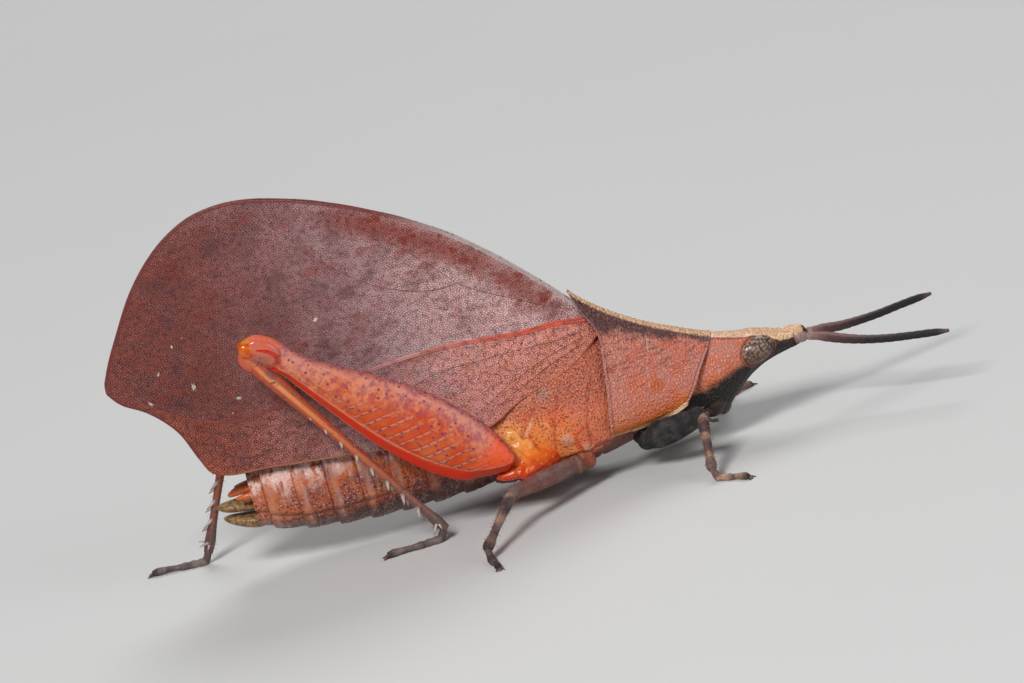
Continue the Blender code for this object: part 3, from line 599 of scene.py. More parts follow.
class Paint:
    """The nodes of one finish, wired call by call, with lengths in millimetres."""

    def __init__(self, name: str) -> None:
        """Starts a material whose pattern is fixed to the object.

        Args:
            name: The material's name.
        """
        self.material = bpy.data.materials.new(name)
        self.material.use_nodes = True
        self.tree = self.material.node_tree
        self.shader = self.tree.nodes["Principled BSDF"]
        metres = self.node("ShaderNodeTexCoord", {}, {}).outputs["Object"]
        scaled = self.node("ShaderNodeVectorMath", {"operation": "SCALE"}, {0: metres, "Scale": 1 / MM})
        self.place = scaled.outputs["Vector"]
        self.colour: Tint = Hue(0.5, 0.5, 0.5)

    def node(self, kind: str, settings: dict[str, Any], inputs: dict[Any, Any]) -> bpy.types.Node:
        """Adds a node.

        Args:
            kind: Blender's name for it.
            settings: Its own settings.
            inputs: Values or sockets for its inputs.

        Returns:
            The node.
        """
        made = self.tree.nodes.new(kind)
        for name, value in settings.items():
            setattr(made, name, value)
        for key, value in inputs.items():
            self.feed(made.inputs[key], value)
        return made

    def feed(self, socket: Socket, value: Any) -> None:
        """Links a socket to another one, or sets its own value.

        Args:
            socket: The socket to feed.
            value: A socket, an amount, a colour or a plain value.
        """
        if isinstance(value, bpy.types.NodeSocket):
            self.tree.links.new(value, socket)
        elif isinstance(value, Amount):
            self.tree.links.new(value.socket, socket)
        elif isinstance(value, Hue):
            socket.default_value = value.rgba
        else:
            socket.default_value = value

    def calc(self, operation: str, a: Value, b: Value = 0.0) -> Amount:
        """One step of arithmetic."""
        return Amount(self, self.node("ShaderNodeMath", {"operation": operation}, {0: a, 1: b}).outputs[0])

    def mix(self, share: Value, a: Tint, b: Tint) -> Socket:
        """A colour between two others."""
        inputs = {0: share, MIX_A: a, MIX_B: b}
        return self.node("ShaderNodeMix", {"data_type": "RGBA"}, inputs).outputs[MIX_RESULT]

    def over(self, share: Value, tint: Tint) -> None:
        """Lays a share of a colour over what the finish has so far."""
        self.colour = self.mix(share, self.colour, tint)

    def ramp(self, value: Value, stops: Sequence[tuple[float, Hue]]) -> Socket:
        """A colour from a row of stops.

        Args:
            value: Where along the row, from 0 to 1.
            stops: The stops' places with their colours.

        Returns:
            The colour.
        """
        made = self.node("ShaderNodeValToRGB", {}, {"Fac": value})
        elements = made.color_ramp.elements
        while len(elements) < len(stops):
            elements.new(1.0)
        for element, (place, hue) in zip(elements, stops):
            element.position = place
            element.color = hue.rgba
        return made.outputs["Color"]

    def clouds(self, at: Socket, scale: float, detail: float = 2.0, roughness: float = 0.5) -> Amount:
        """Soft noise from 0 to 1, by its lumps to a millimetre."""
        inputs = {"Vector": at, "Scale": scale, "Detail": detail, "Roughness": roughness}
        return Amount(self, self.node("ShaderNodeTexNoise", {}, inputs).outputs[0])

    def cells(self, at: Socket, scale: float, spread: float, feature: str, size: str = "3D") -> Amount:
        """A measure of the nearest of many cells.

        Args:
            at: The place.
            scale: Cells to a millimetre.
            spread: How uneven the cells are, from 0 to 1.
            feature: What is measured, by Blender's name.
            size: Cells in space or, as "2D", by x and y alone.

        Returns:
            The distance measured, in cells.
        """
        settings = {"voronoi_dimensions": size, "feature": feature}
        inputs = {"Vector": at, "Scale": scale, "Randomness": spread}
        return Amount(self, self.node("ShaderNodeTexVoronoi", settings, inputs).outputs["Distance"])

    def net(self, at: Socket, scale: float, spread: float = 1.0, size: str = "3D") -> Amount:
        """How far a place is from the walls of a net of cells."""
        return self.cells(at, scale, spread, "DISTANCE_TO_EDGE", size)

    def dots(self, at: Socket, scale: float, spread: float = 1.0) -> Amount:
        """How far a place is from the middle of the nearest cell."""
        return self.cells(at, scale, spread, "F1")

    def turned(self, at: Socket, turn: Row, scale: Row = (1, 1, 1)) -> Socket:
        """The place turned and stretched.

        Args:
            at: The place.
            turn: The turns about x, y and z in degrees.
            scale: The stretch along each.

        Returns:
            The new place.
        """
        angles = tuple(math.radians(angle) for angle in turn)
        made = self.node("ShaderNodeMapping", {}, {"Vector": at, "Rotation": angles, "Scale": tuple(scale)})
        return made.outputs["Vector"]

    def moved(self, at: Socket, by: Socket) -> Socket:
        """The place moved by another vector."""
        return self.node("ShaderNodeVectorMath", {"operation": "ADD"}, {0: at, 1: by}).outputs[0]

    def away(self, at: Socket, spot: Row) -> Amount:
        """How far the place is from a fixed spot."""
        made = self.node("ShaderNodeVectorMath", {"operation": "DISTANCE"}, {0: at, 1: tuple(spot)})
        return Amount(self, made.outputs["Value"])

    def noted(self, name: str) -> Socket:
        """The three numbers that a piece carries under a name."""
        return self.node("ShaderNodeAttribute", {"attribute_name": name}, {}).outputs["Vector"]

    def split(self, vector: Socket) -> list[Amount]:
        """A vector's three numbers."""
        made = self.node("ShaderNodeSeparateXYZ", {}, {0: vector})
        return [Amount(self, output) for output in made.outputs]

    def packed(self, x: Value, y: Value, z: Value) -> Socket:
        """Three numbers as a vector."""
        return self.node("ShaderNodeCombineXYZ", {}, {0: x, 1: y, 2: z}).outputs[0]

    def coat(self, roughness: Value, height: Value, **fixed: Any) -> bpy.types.Material:
        """Wires the shader, with the colour that has been laid.

        Args:
            roughness: The surface's roughness.
            height: Its relief in millimetres.
            fixed: Values that are the same all over, by the shader's socket names with _ for spaces.

        Returns:
            The finished material.
        """
        self.feed(self.shader.inputs["Base Color"], self.colour)
        self.feed(self.shader.inputs["Roughness"], roughness)
        bump = self.node("ShaderNodeBump", {}, {"Strength": 1.0, "Distance": MM, "Height": height})
        self.feed(self.shader.inputs["Normal"], bump.outputs["Normal"])
        for name, value in fixed.items():
            self.shader.inputs[name.replace("_", " ")].default_value = value
        return self.material


def place_on_body(
    piece: Piece, finish: bpy.types.Material, slot: str, *nodes: str, angle: float = 40
) -> None:
    """Makes a finished piece metres, paints it, and puts it on the body in place of its solids.

    Args:
        piece: The piece, in millimetres.
        finish: Its material.
        slot: Not used.
        nodes: The solids that it stands for.
        angle: The sharpest fold that is still shaded smooth.
    """
    choose(piece)
    piece.scale = (MM, MM, MM)
    bpy.ops.object.transform_apply(location=True, rotation=True, scale=True)
    bpy.ops.object.shade_smooth_by_angle(angle=math.radians(angle))
    piece.data.materials.clear()
    piece.data.materials.append(finish)
    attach(piece, BODY)
    if nodes:
        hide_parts(*nodes)
    log.info("%s: %d faces", piece.name, len(piece.data.polygons))


def place_pair(piece: Piece, finish: bpy.types.Material, slot: str, node: str, angle: float = 40) -> None:
    """Makes a piece's twin for the other side, and places both.

    Args:
        piece: The piece, with its side's name as the last word of its own.
        finish: The material of both.
        slot: The slot of both.
        node: The solids that they stand for, without the side's name.
        angle: The sharpest fold that is still shaded smooth.
    """
    own = piece.name.rsplit("_", 1)[1]
    other = next(side.label for side in Side if side.label != own)
    twin = mirrored(piece, piece.name.replace(own, other))
    for made, label in ((piece, own), (twin, other)):
        place_on_body(made, finish, slot, f"{node}_{label}", angle=angle)


@dataclass(frozen=True)
class WingFinish:
    """A leaf-like membrane: mauve above the midrib and orange-pink to brown below, finely wrinkled."""

    above: tuple[Hue, Hue, Hue] = (Hue(0.84, 0.50, 0.47), Hue(0.44, 0.235, 0.24), Hue(0.29, 0.078, 0.058))
    below: tuple[Hue, Hue, Hue] = (Hue(0.94, 0.35, 0.28), Hue(0.62, 0.32, 0.32), Hue(0.46, 0.115, 0.065))
    blush: Hue = Hue(0.32, 0.06, 0.04)
    dusk: Hue = Hue(0.13, 0.055, 0.058)
    # The pale colour of the mottling and the vein borders, also used for a painted sheen.
    bloom: Hue = Hue(0.50, 0.37, 0.37)
    ember: Hue = Hue(0.70, 0.24, 0.11)
    ink: Hue = Hue(0.045, 0.016, 0.020)
    grain: float = 6.6

    def build(self) -> bpy.types.Material:
        """The membrane's material.

        Returns:
            The material.
        """
        paint = Paint("leaf_wing")
        # Where a place lies on the wing, and how far it is from rims and veins.
        x, _, z = paint.split(paint.place)
        flat = paint.packed(x, z, 0.0)
        top, hem, above = paint.split(paint.noted("edges"))
        dark, fan, side = paint.split(paint.noted("veins"))
        back, front, below = x.soft(4.0, -25.0), x.soft(-12.0, -2.0), above.soft(0.1, -0.1)
        # The ground, above and below the midrib.
        stops = (0.0, 0.45, 0.95)
        upper = paint.ramp(back, tuple(zip(stops, self.above)))
        lower = paint.ramp(back, tuple(zip(stops, self.below)))
        paint.colour = paint.mix(below, upper, lower)
        # Large dull, red and pale patches, the pale ones partly a painted sheen.
        broad = paint.clouds(flat, 0.24, 3.0, 0.62)
        small = paint.clouds(paint.turned(flat, (0, 0, 35), (0.6, 1, 1)), 0.85, 4.0, 0.62)
        clear = 1.0 - below * front * 0.8
        dull = broad.soft(0.52, 0.38, 0.3) + small.soft(0.47, 0.36, 0.4)
        paint.over(dull * clear, self.dusk)
        blushing = (
            top.band(0.9, 1.5, 0.85) * x.soft(6.0, 1.0) * x.soft(-13.0, -7.0) + small.soft(0.52, 0.64, 0.5)
        )
        paint.over(blushing * clear, self.blush)
        # Pale patches over the front and middle: partly pale mottling, partly a painted sheen.
        pale_and_sheen_patches = broad.soft(0.48, 0.62) * small.soft(0.4, 0.6, 0.6) * back.soft(0.95, 0.4)
        paint.over(pale_and_sheen_patches, self.bloom)
        # Orange spots near the root, the pale borders of the veins, and a painted sheen above the midrib.
        spots = (paint.dots(flat, 0.62) + small * 0.3).soft(0.56, 0.3)
        glowing = (spots + small.soft(0.54, 0.66, 0.5)) * front * below * 0.55
        paint.over(glowing, self.ember)
        paint.over(side.band(0.12, 0.1, 0.06), self.bloom)
        # Painted sheen: a pale streak just above the midrib, over the front of the wing.
        sheen = above.band(0.4, 0.35, 0.5) * small.soft(0.42, 0.56) * x.soft(-12.0, -6.0)
        paint.over(sheen, self.bloom)
        root = hem.soft(2.4, 0.3) * x.soft(-4.0, 0.5)
        paint.over(root * 0.8, Hue(0.8, 0.25, 0.15))
        # The fine dark mesh with its coarser creases and specks.
        wrinkles = paint.turned(flat, (0, 0, -32), (self.grain * 0.85, self.grain * 1.15, 1))
        walls = paint.net(wrinkles, 1.0, 0.95, "2D")
        fine = walls.soft(0.26, 0.03)
        grit = paint.clouds(flat, 3.0, 3.0, 0.7)
        paint.over(fine * (x.soft(-8.0, -20.0, 0.25) + 0.3 + grit.soft(0.38, 0.6, 0.45)), self.ink)
        paint.over(grit.soft(0.56, 0.7, 0.4), self.ink)
        stretched = paint.turned(flat, (0, 0, -25), (0.8, 1.1, 1))
        bent = paint.moved(stretched, paint.packed(small, broad, 0.0))
        deep = (
            paint.net(bent, 1.6, 1.0, "2D").soft(0.045, 0.01) * grit.soft(0.38, 0.52)
            * (0.15 + below * front * 0.45 + below * x.soft(-10.0, -20.0, 0.5))
        )
        specks = paint.dots(flat, 1.4).soft(0.11, 0.06, 0.8)
        paint.over(deep + specks, self.ink)
        # The dark veins and both rims.
        lines = dark.soft(0.06, 0.02, 0.4) + fan.soft(0.05, 0.015, 0.25)
        paint.over(lines * grit.soft(0.38, 0.5), self.ink)
        edge = paint.mix(x.soft(-7.0, -1.0), Hue(0.17, 0.035, 0.03), Hue(0.5, 0.42, 0.4))
        paint.over((top + grit * 0.1).soft(0.2, 0.12, 0.75), edge)
        border = paint.mix(x.soft(-23.5, -19.0), Hue(0.15, 0.035, 0.03), Hue(0.5, 0.17, 0.08))
        paint.over(hem.soft(0.15, 0.06, 0.7), border)
        height = fine * -0.035 - deep * 0.04 + broad * 0.4 + small * 0.2
        return paint.coat(grit * 0.25 + 0.34, height, Specular_IOR_Level=0.25)


@dataclass(frozen=True)
class MidribFinish:
    """The midrib: orange-red at its root, pink in the middle and dull red behind."""

    def build(self) -> bpy.types.Material:
        """The midrib's material.

        Returns:
            The material.
        """
        paint = Paint("midrib_red")
        x, _, _ = paint.split(paint.place)
        patches = paint.clouds(paint.place, 1.2, 3.0, 0.6)
        stops = (
            (0.0, Hue(0.68, 0.09, 0.04)), (0.22, Hue(0.62, 0.2, 0.16)), (0.42, Hue(0.6, 0.3, 0.29)),
            (0.75, Hue(0.26, 0.06, 0.05)),
        )
        paint.colour = paint.ramp(x.soft(4.0, -22.0), stops)
        paint.over(patches.soft(0.45, 0.65, 0.7), Hue(0.34, 0.06, 0.04))
        return paint.coat(0.4, patches * 0.04, Specular_IOR_Level=0.4)


@dataclass(frozen=True)
class RimFinish:
    """The wing's rims: pale grey in front, red-brown behind."""

    def build(self) -> bpy.types.Material:
        """The rims' material.

        Returns:
            The material.
        """
        paint = Paint("wing_rim")
        x, _, z = paint.split(paint.place)
        grain = paint.clouds(paint.place, 3.0, 3.0, 0.6)
        front = paint.mix(z.soft(11.0, 12.5), Hue(0.55, 0.17, 0.1), Hue(0.5, 0.42, 0.4))
        rear = paint.mix(z.soft(9.5, 8.0), Hue(0.2, 0.05, 0.04), Hue(0.42, 0.15, 0.07))
        paint.colour = paint.mix(x.soft(-7.0, -1.0), rear, front)
        paint.over(grain.soft(0.54, 0.66, 0.6), Hue(0.06, 0.02, 0.02))
        return paint.coat(0.4, grain * 0.05, Specular_IOR_Level=0.35)


@dataclass(frozen=True)
class PlainFinish:
    """Horn with soft mottling, for veins, claws, lips and other small hard pieces."""

    name: str
    hue: Hue
    mottle: Hue
    scale: float = 3.0
    roughness: float = 0.4
    relief: float = 0.01

    def build(self) -> bpy.types.Material:
        """The small piece's material.

        Returns:
            The material.
        """
        paint = Paint(self.name)
        patches = paint.clouds(paint.place, self.scale, 3.0, 0.6)
        paint.colour = paint.mix(patches.soft(0.35, 0.68), self.hue, self.mottle)
        rough = patches * 0.15 + (self.roughness - 0.07)
        return paint.coat(rough, patches * (self.relief * 4), Specular_IOR_Level=0.5)


@dataclass
class Wings:
    """The two tegmina, held as a steep roof, each with its midrib, veins, rims and pale spots."""

    top: tuple = (
        (6.3, 10.2), (5.75, 10.9), (4.8, 12.1), (3.55, 13.6), (1.2, 16.15), (-1.8, 18.95), (-5.4, 21.45),
        (-9.2, 23.45), (-12.7, 24.8), (-15.8, 25.5), (-18.1, 25.4), (-20.3, 24.6), (-22.2, 23.25),
        (-24.1, 21.2), (-25.7, 18.8), (-26.9, 16.75), (-27.45, 15.6),
    )
    hem: tuple = (
        (-27.45, 15.1), (-26.9, 14.45), (-25.1, 13.25), (-23.5, 11.45), (-22.6, 9.2), (-22.1, 8.2),
        (-21.4, 7.85), (-18.3, 7.6), (-13.5, 7.2), (-8.0, 6.5), (-4.2, 6.1), (-2.4, 6.5), (-1.1, 7.1),
        (1.1, 7.8), (3.4, 8.5), (4.85, 9.3), (5.4, 9.6), (6.3, 9.9),
    )
    midrib: tuple = (
        (5.8, 10.7), (4.9, 11.1), (3.54, 11.52), (0.73, 11.77), (-2.03, 12.13), (-4.81, 12.4),
        (-7.66, 12.4), (-12.77, 11.97), (-16.42, 11.53), (-19.99, 11.35), (-22.56, 12.2), (-26.0, 14.5),
    )
    dark_veins: tuple = (
        ((4.75, 11.79), (1.02, 13.92), (-0.82, 14.99), (-2.49, 16.13), (-3.4, 17.18), (-4.48, 18.35),
         (-5.59, 19.47), (-7.26, 21.09), (-9.37, 22.44)),
        ((-2.49, 16.13), (-3.72, 16.1), (-6.36, 16.84), (-8.22, 17.81), (-10.23, 19.47), (-12.1, 21.64),
         (-13.69, 23.51)),
    )
    fans: tuple = (
        ((4.66, 10.39), (2.0, 10.6), (-2.0, 10.8), (-6.01, 10.73), (-10.6, 8.6)),
        ((4.96, 10.13), (2.2, 9.7), (-0.5, 8.8), (-3.39, 7.54)),
        ((5.19, 9.77), (2.4, 9.2), (0.4, 8.4), (-2.77, 7.23)),
    )
    side_veins: tuple = (
        ((-0.6, 12.3), (-3.9, 13.2), (-7.4, 14.9), (-11.8, 19.1), (-15.2, 23.6)),
        ((-5.5, 12.5), (-9.0, 13.7), (-14.3, 16.6), (-20.2, 22.4)),
        ((-11.2, 12.4), (-14.4, 14.5), (-20.2, 18.0), (-23.2, 20.6)),
        ((-15.6, 12.0), (-19.2, 14.6), (-25.0, 18.4)),
        ((-19.6, 11.7), (-22.5, 13.6), (-25.8, 15.8)),
        ((-9.6, 12.0), (-13.0, 10.4), (-15.6, 8.5)),
        ((-14.6, 11.5), (-17.6, 10.2), (-19.8, 8.6)),
    )
    stars: tuple = (
        (-21.63, 14.26, 0.3), (-18.88, 12.79, 0.22), (-23.7, 15.66, 0.17), (-24.77, 13.85, 0.2),
        (-12.41, 16.55, 0.26), (-22.3, 17.28, 0.15),
    )
    dots: tuple = (
        (-25.74, 14.68, 0.08), (-19.56, 11.89, 0.08), (-10.11, 17.19, 0.08), (-19.46, 21.65, 0.06),
        (-0.82, 15.31, 0.07), (1.13, 14.15, 0.05), (-2.39, 12.47, 0.06), (-21.48, 17.69, 0.06),
        (3.05, 8.9, 0.07),
    )
    thickness: float = 0.2
    top_y: float = 0.45
    flare: float = 3.0
    tip_flare: float = 1.0
    narrows_from: float = -12.0
    narrows_over: float = 15.0
    hem_z: float = 7.0
    bulge: float = 0.25
    curl: float = 0.2
    tuck: float = 0.62
    tuck_height: float = 3.0
    rim: float = 0.06
    rib_radii: tuple = (0.075, 0.1)
    rib_gaps: tuple = (0.1, -0.08)
    vein_radii: Row = (0.022, 0.012)
    star_corners: int = 18
    star_waist: float = 0.42
    star_scale: Row = (1.1, 0.3)
    star_proud: float = 0.005
    star_turn: float = 1.3
    grid: tuple = (236, 112)

    def middle(self, x: Points, z: Points) -> Points:
        """How far out the membrane's middle layer lies at places in side view.

        Args:
            x: How far forward each place is.
            z: Its height.

        Returns:
            The distances from the midplane.
        """
        ridge = eased(self.top, x)[:, 0]
        narrowing = rise(self.narrows_from - x, 0, self.narrows_over)
        flare = self.flare + (self.tip_flare - self.flare) * narrowing
        share = np.clip((ridge - z) / (ridge - self.hem_z), 0, 1.1)
        y = self.top_y + flare * share + self.bulge * np.sin(math.pi * np.minimum(share, 1))
        low = eased(self.hem, x)[:, 0]
        y -= self.tuck * rise(self.tuck_height - (z - low), 0, self.tuck_height) * rise(x, -5, 0)
        return y - self.curl * hump(ridge - z, 0.55)

    def swell(self, spots: Points) -> Points:
        """How far veins and soft waves raise the membrane at (x, z) places.

        Args:
            spots: Places, one (x, z) row each.

        Returns:
            The heights.
        """
        x, z = spots[:, 0], spots[:, 1]
        height = 0.14 * hump(nearest(spots, self.midrib), 0.32)
        for line in self.dark_veins + self.fans:
            height += 0.05 * hump(nearest(spots, line), 0.22)
        for line in self.side_veins:
            height += 0.045 * hump(nearest(spots, line), 0.4)
        waves = (
            0.05 * np.sin(0.9 * x + 0.5 * z) + 0.04 * np.sin(1.7 * z - 0.6 * x)
            + 0.03 * np.sin(2.3 * x + 1.1)
        )
        return height + waves * rise(5.0 - x, 0, 4)

    def surface(self, spots: Points, out: float) -> Points:
        """Places on the right wing, a given distance outside its middle layer."""
        y = self.middle(spots[:, 0], spots[:, 1]) + self.swell(spots) + out
        return np.column_stack([spots[:, 0], -y, spots[:, 1]])

    def spread(self, along: Points, across: Points) -> Points:
        """The membrane's places, by shares from front to tip and from hem to top.

        Args:
            along: Shares from front to tip.
            across: Shares from hem to top.

        Returns:
            The places.
        """
        even = 0.5 * along + 0.25 * (1 - np.cos(math.pi * along))
        x = self.top[0][0] + (self.top[-1][0] - self.top[0][0]) * even
        low, high = eased(self.hem, x)[:, 0], eased(self.top, x)[:, 0]
        return self.surface(np.column_stack([x, low + (high - low) * across]), 0.0)

    def membrane(self) -> Piece:
        """The right wing's thin leaf.

        Returns:
            The leaf, with "edges" and "veins" noted for its finish.
        """
        leaf = wrapped_sheet("tegmen_leaf_right", *self.grid, self.spread)
        finish_with(leaf, "SOLIDIFY", thickness=self.thickness, offset=0.0)
        close_up(leaf, 1e-5)
        spots = corners_of(leaf)[:, [0, 2]]
        rib = smooth_line(self.midrib)
        off = line_distance(spots, rib)
        above = np.where(spots[:, 1] > eased(rib, spots[:, 0])[:, 0], off, -off)
        note(leaf, "edges", nearest(spots, self.top), nearest(spots, self.hem), above)
        kinds = (self.dark_veins, self.fans, self.side_veins)
        note(leaf, "veins", *(nearest(spots, *lines) for lines in kinds))
        return leaf

    def vein(self, name: str, line: Sequence[Row], thick: float, thin: float, aside: float = 0.0) -> Piece:
        """A raised vein on the right wing, tapering along its line, set aside in the plane of the wing.

        Args:
            name: The vein's name.
            line: Its (x, z) corners.
            thick: Its radius at the start.
            thin: Its radius at the end.
            aside: How far it starts beside its line.

        Returns:
            The vein.
        """
        spots = smooth_line(line, 8)
        runs = np.gradient(spots, axis=0)
        runs /= np.linalg.norm(runs, axis=1)[:, None]
        taper = np.linspace(1, 0.35, len(spots))[:, None]
        spots = spots + np.column_stack([-runs[:, 1], runs[:, 0]]) * aside * taper
        radii = np.linspace(thick, thin, len(spots))
        return rod(name, self.surface(spots, self.thickness / 2), radii, 6, (0, 1, 0))

    def ribs(self) -> tuple[Piece, Piece, Piece]:
        """The right wing's red double midrib, its dark veins, and the cords along its two rims.

        Returns:
            The midrib, the veins and the rims.
        """
        red = [
            self.vein("rib", self.midrib, radius, 0.2 * radius, gap)
            for radius, gap in zip(self.rib_radii, self.rib_gaps)
        ]
        dark = [self.vein("vein", line, *self.vein_radii) for line in self.dark_veins + self.fans]
        rims = []
        for line in (self.top[1:], self.hem[:-1]):
            spots = smooth_line(line, 8)
            rims.append(rod("rim", self.surface(spots, 0.0), self.rim, 8, (0, 1, 0)))
        whole = zip(("midrib", "veins", "rims"), (red, dark, rims))
        return tuple(joined(f"tegmen_{name}_right", pieces) for name, pieces in whole)

    def marks(self) -> Piece:
        """The pale stars and dots on the right wing.

        Returns:
            The piece.
        """
        clear_selection()
        bpy.ops.mesh.primitive_circle_add(vertices=self.star_corners, radius=1.0, fill_type="TRIFAN")
        star = bpy.context.active_object
        with editing(star):
            bpy.ops.mesh.extrude_region_move(TRANSFORM_OT_translate={"value": (0, 0, 0.12)})
        close_up(star)
        raw = corners_of(star)
        turns = np.arctan2(raw[:, 1], raw[:, 0]) / (2 * math.pi)
        spokes = np.rint(turns * self.star_corners).astype(int) % 3
        raw[:, :2] *= np.where(spokes == 0, 1.0, self.star_waist)[:, None]
        lay(star, raw)
        out = self.thickness / 2 + self.star_proud
        wide, tall = self.star_scale
        placings = []
        for k, (x, z, size) in enumerate(self.stars + self.dots):
            root, ahead, above = self.surface(np.array([[x, z], [x + 0.1, z], [x, z + 0.1]]), out)
            way = Vector(np.cross(ahead - root, above - root))
            spin = Matrix.Rotation(self.star_turn * k, 4, "Z")
            placings.append(placing(root, way, size * tall, size * wide) @ spin)
        return scattered("tegmen_spots_right", star, placings)

    def build(self) -> None:
        """Makes and places both wings."""
        leaf = WingFinish().build()
        red = MidribFinish().build()
        dark = PlainFinish("vein_dark", Hue(0.20, 0.075, 0.065), Hue(0.07, 0.02, 0.025), 2.4, 0.5).build()
        rim = RimFinish().build()
        pale = PlainFinish("wing_spots", Hue(0.62, 0.58, 0.48), Hue(0.30, 0.24, 0.19), 9.0, 0.6).build()
        right = [self.membrane(), *self.ribs(), self.marks()]
        for piece, finish in zip(right, (leaf, red, dark, rim, pale)):
            place_pair(piece, finish, "tegmen", "tegmen")


@dataclass(frozen=True)
class BodyForm:
    """A length of the body by its sections.

    A row holds x, the lowest, widest and highest place, the half width, and the squareness below and above.
    """

    rows: tuple

    def around(self, x: Points, turn: Points) -> Points:
        """Places on the body.

        Args:
            x: How far forward each is.
            turn: Its share of a turn, from the lowest point over the left side.

        Returns:
            The places.
        """
        low, wide, high, half, n_low, n_high = eased(self.rows, x).T
        angle = 2 * math.pi * turn - math.pi / 2
        c, s = np.cos(angle), np.sin(angle)
        n = np.where(s > 0, n_high, n_low)
        depth = np.where(s > 0, high - wide, wide - low)
        return np.column_stack([x, half * power(c, 2 / n), wide + depth * power(s, 2 / n)])

    def breadth(self, x: Points, z: Points) -> Points:
        """The half width at a height.

        Args:
            x: How far forward each place is.
            z: Its height.

        Returns:
            The half widths.
        """
        low, wide, high, half, n_low, n_high = eased(self.rows, x).T
        above = z > wide
        n = np.where(above, n_high, n_low)
        share = np.clip(np.where(above, (z - wide) / (high - wide), (wide - z) / (wide - low)), 0, 1)
        return half * (1 - share**n) ** (1 / n)


@dataclass(frozen=True)
class ShieldFinish:
    """The pronotum: pitted pink-red sides, a grey band, a tan crest and cream rims."""

    def build(self) -> bpy.types.Material:
        """The shield's material.

        Returns:
            The material.
        """
        paint = Paint("shield")
        x, _, z = paint.split(paint.place)
        crest, low, rear = paint.split(paint.noted("shield"))
        lines, front, spot = paint.split(paint.noted("lines"))
        # The pitted red sides, redder towards the lower margin, with painted shade in the low parts of the
        # creases.
        haze = paint.clouds(paint.place, 0.6, 3.0, 0.6)
        grain = paint.clouds(paint.place, 6.5, 2.0, 0.6)
        shaded_hollows = paint.dots(paint.place, 5.8, 0.95).soft(0.3, 0.66)
        creases = paint.clouds(paint.turned(paint.place, (0, 30, 0), (0.7, 1, 3.2)), 1.6, 3.0, 0.55)
        paint.colour = paint.mix(haze.soft(0.38, 0.6), Hue(0.8, 0.21, 0.12), Hue(0.74, 0.28, 0.21))
        paint.over(z.soft(6.0, 3.4, 0.7), Hue(0.72, 0.15, 0.035))
        # Painted shade: darker where the oblique creases sink, on the upper sides.
        shaded_folds = creases.soft(0.5, 0.38) * z.soft(5.5, 7.5, 0.6)
        paint.over(shaded_folds, Hue(0.26, 0.05, 0.04))
        # The grey band under the crest, the orange spot, and painted shade in the hollows between the
        # granules.
        dusk = crest / (x.soft(12.0, 4.5, 1.9) + 0.6) + haze * 1.3 - 0.65
        paint.over(dusk.soft(0.9, 0.5, 0.95), Hue(0.06, 0.038, 0.04))
        paint.over(spot.soft(0.6, 0.15, 0.8), Hue(0.7, 0.14, 0.02))
        # Painted shade: the hollows between the granules darkened.
        paint.over(shaded_hollows * 0.42, Hue(0.16, 0.035, 0.03))
        paint.over(grain.soft(0.53, 0.68, 0.3), Hue(0.74, 0.36, 0.28))
        # The furrows, the yellow lower border, and the rims.
        scratch = lines.soft(0.08, 0.03, 0.6) * haze.soft(0.42, 0.5)
        paint.over(scratch, Hue(0.62, 0.42, 0.34))
        glow = low - haze * 0.8 + grain * 0.5
        paint.over(glow.soft(1.0, 0.1, 0.85), Hue(0.72, 0.17, 0.015))
        lilac = rear.soft(0.1, 0.03, 0.55) + front.soft(0.09, 0.03, 0.6)
        paint.over(lilac, Hue(0.42, 0.27, 0.26))
        seams = rear.band(0.2, 0.08, 0.6) + front.band(0.17, 0.08, 0.6)
        paint.over(seams, Hue(0.14, 0.06, 0.06))
        paint.over(low.soft(0.24, 0.12, 0.9), Hue(0.88, 0.6, 0.36))
        # The tan crest.
        ridge = crest + grain * 0.16
        tan = paint.mix(grain.soft(0.42, 0.6), Hue(0.78, 0.48, 0.28), Hue(0.62, 0.33, 0.18))
        paint.over(ridge.soft(0.33, 0.23), tan)
        height = shaded_hollows * -0.075 + grain * 0.07 + creases * 0.2
        return paint.coat(grain * 0.2 + 0.36, height, Specular_IOR_Level=0.35)


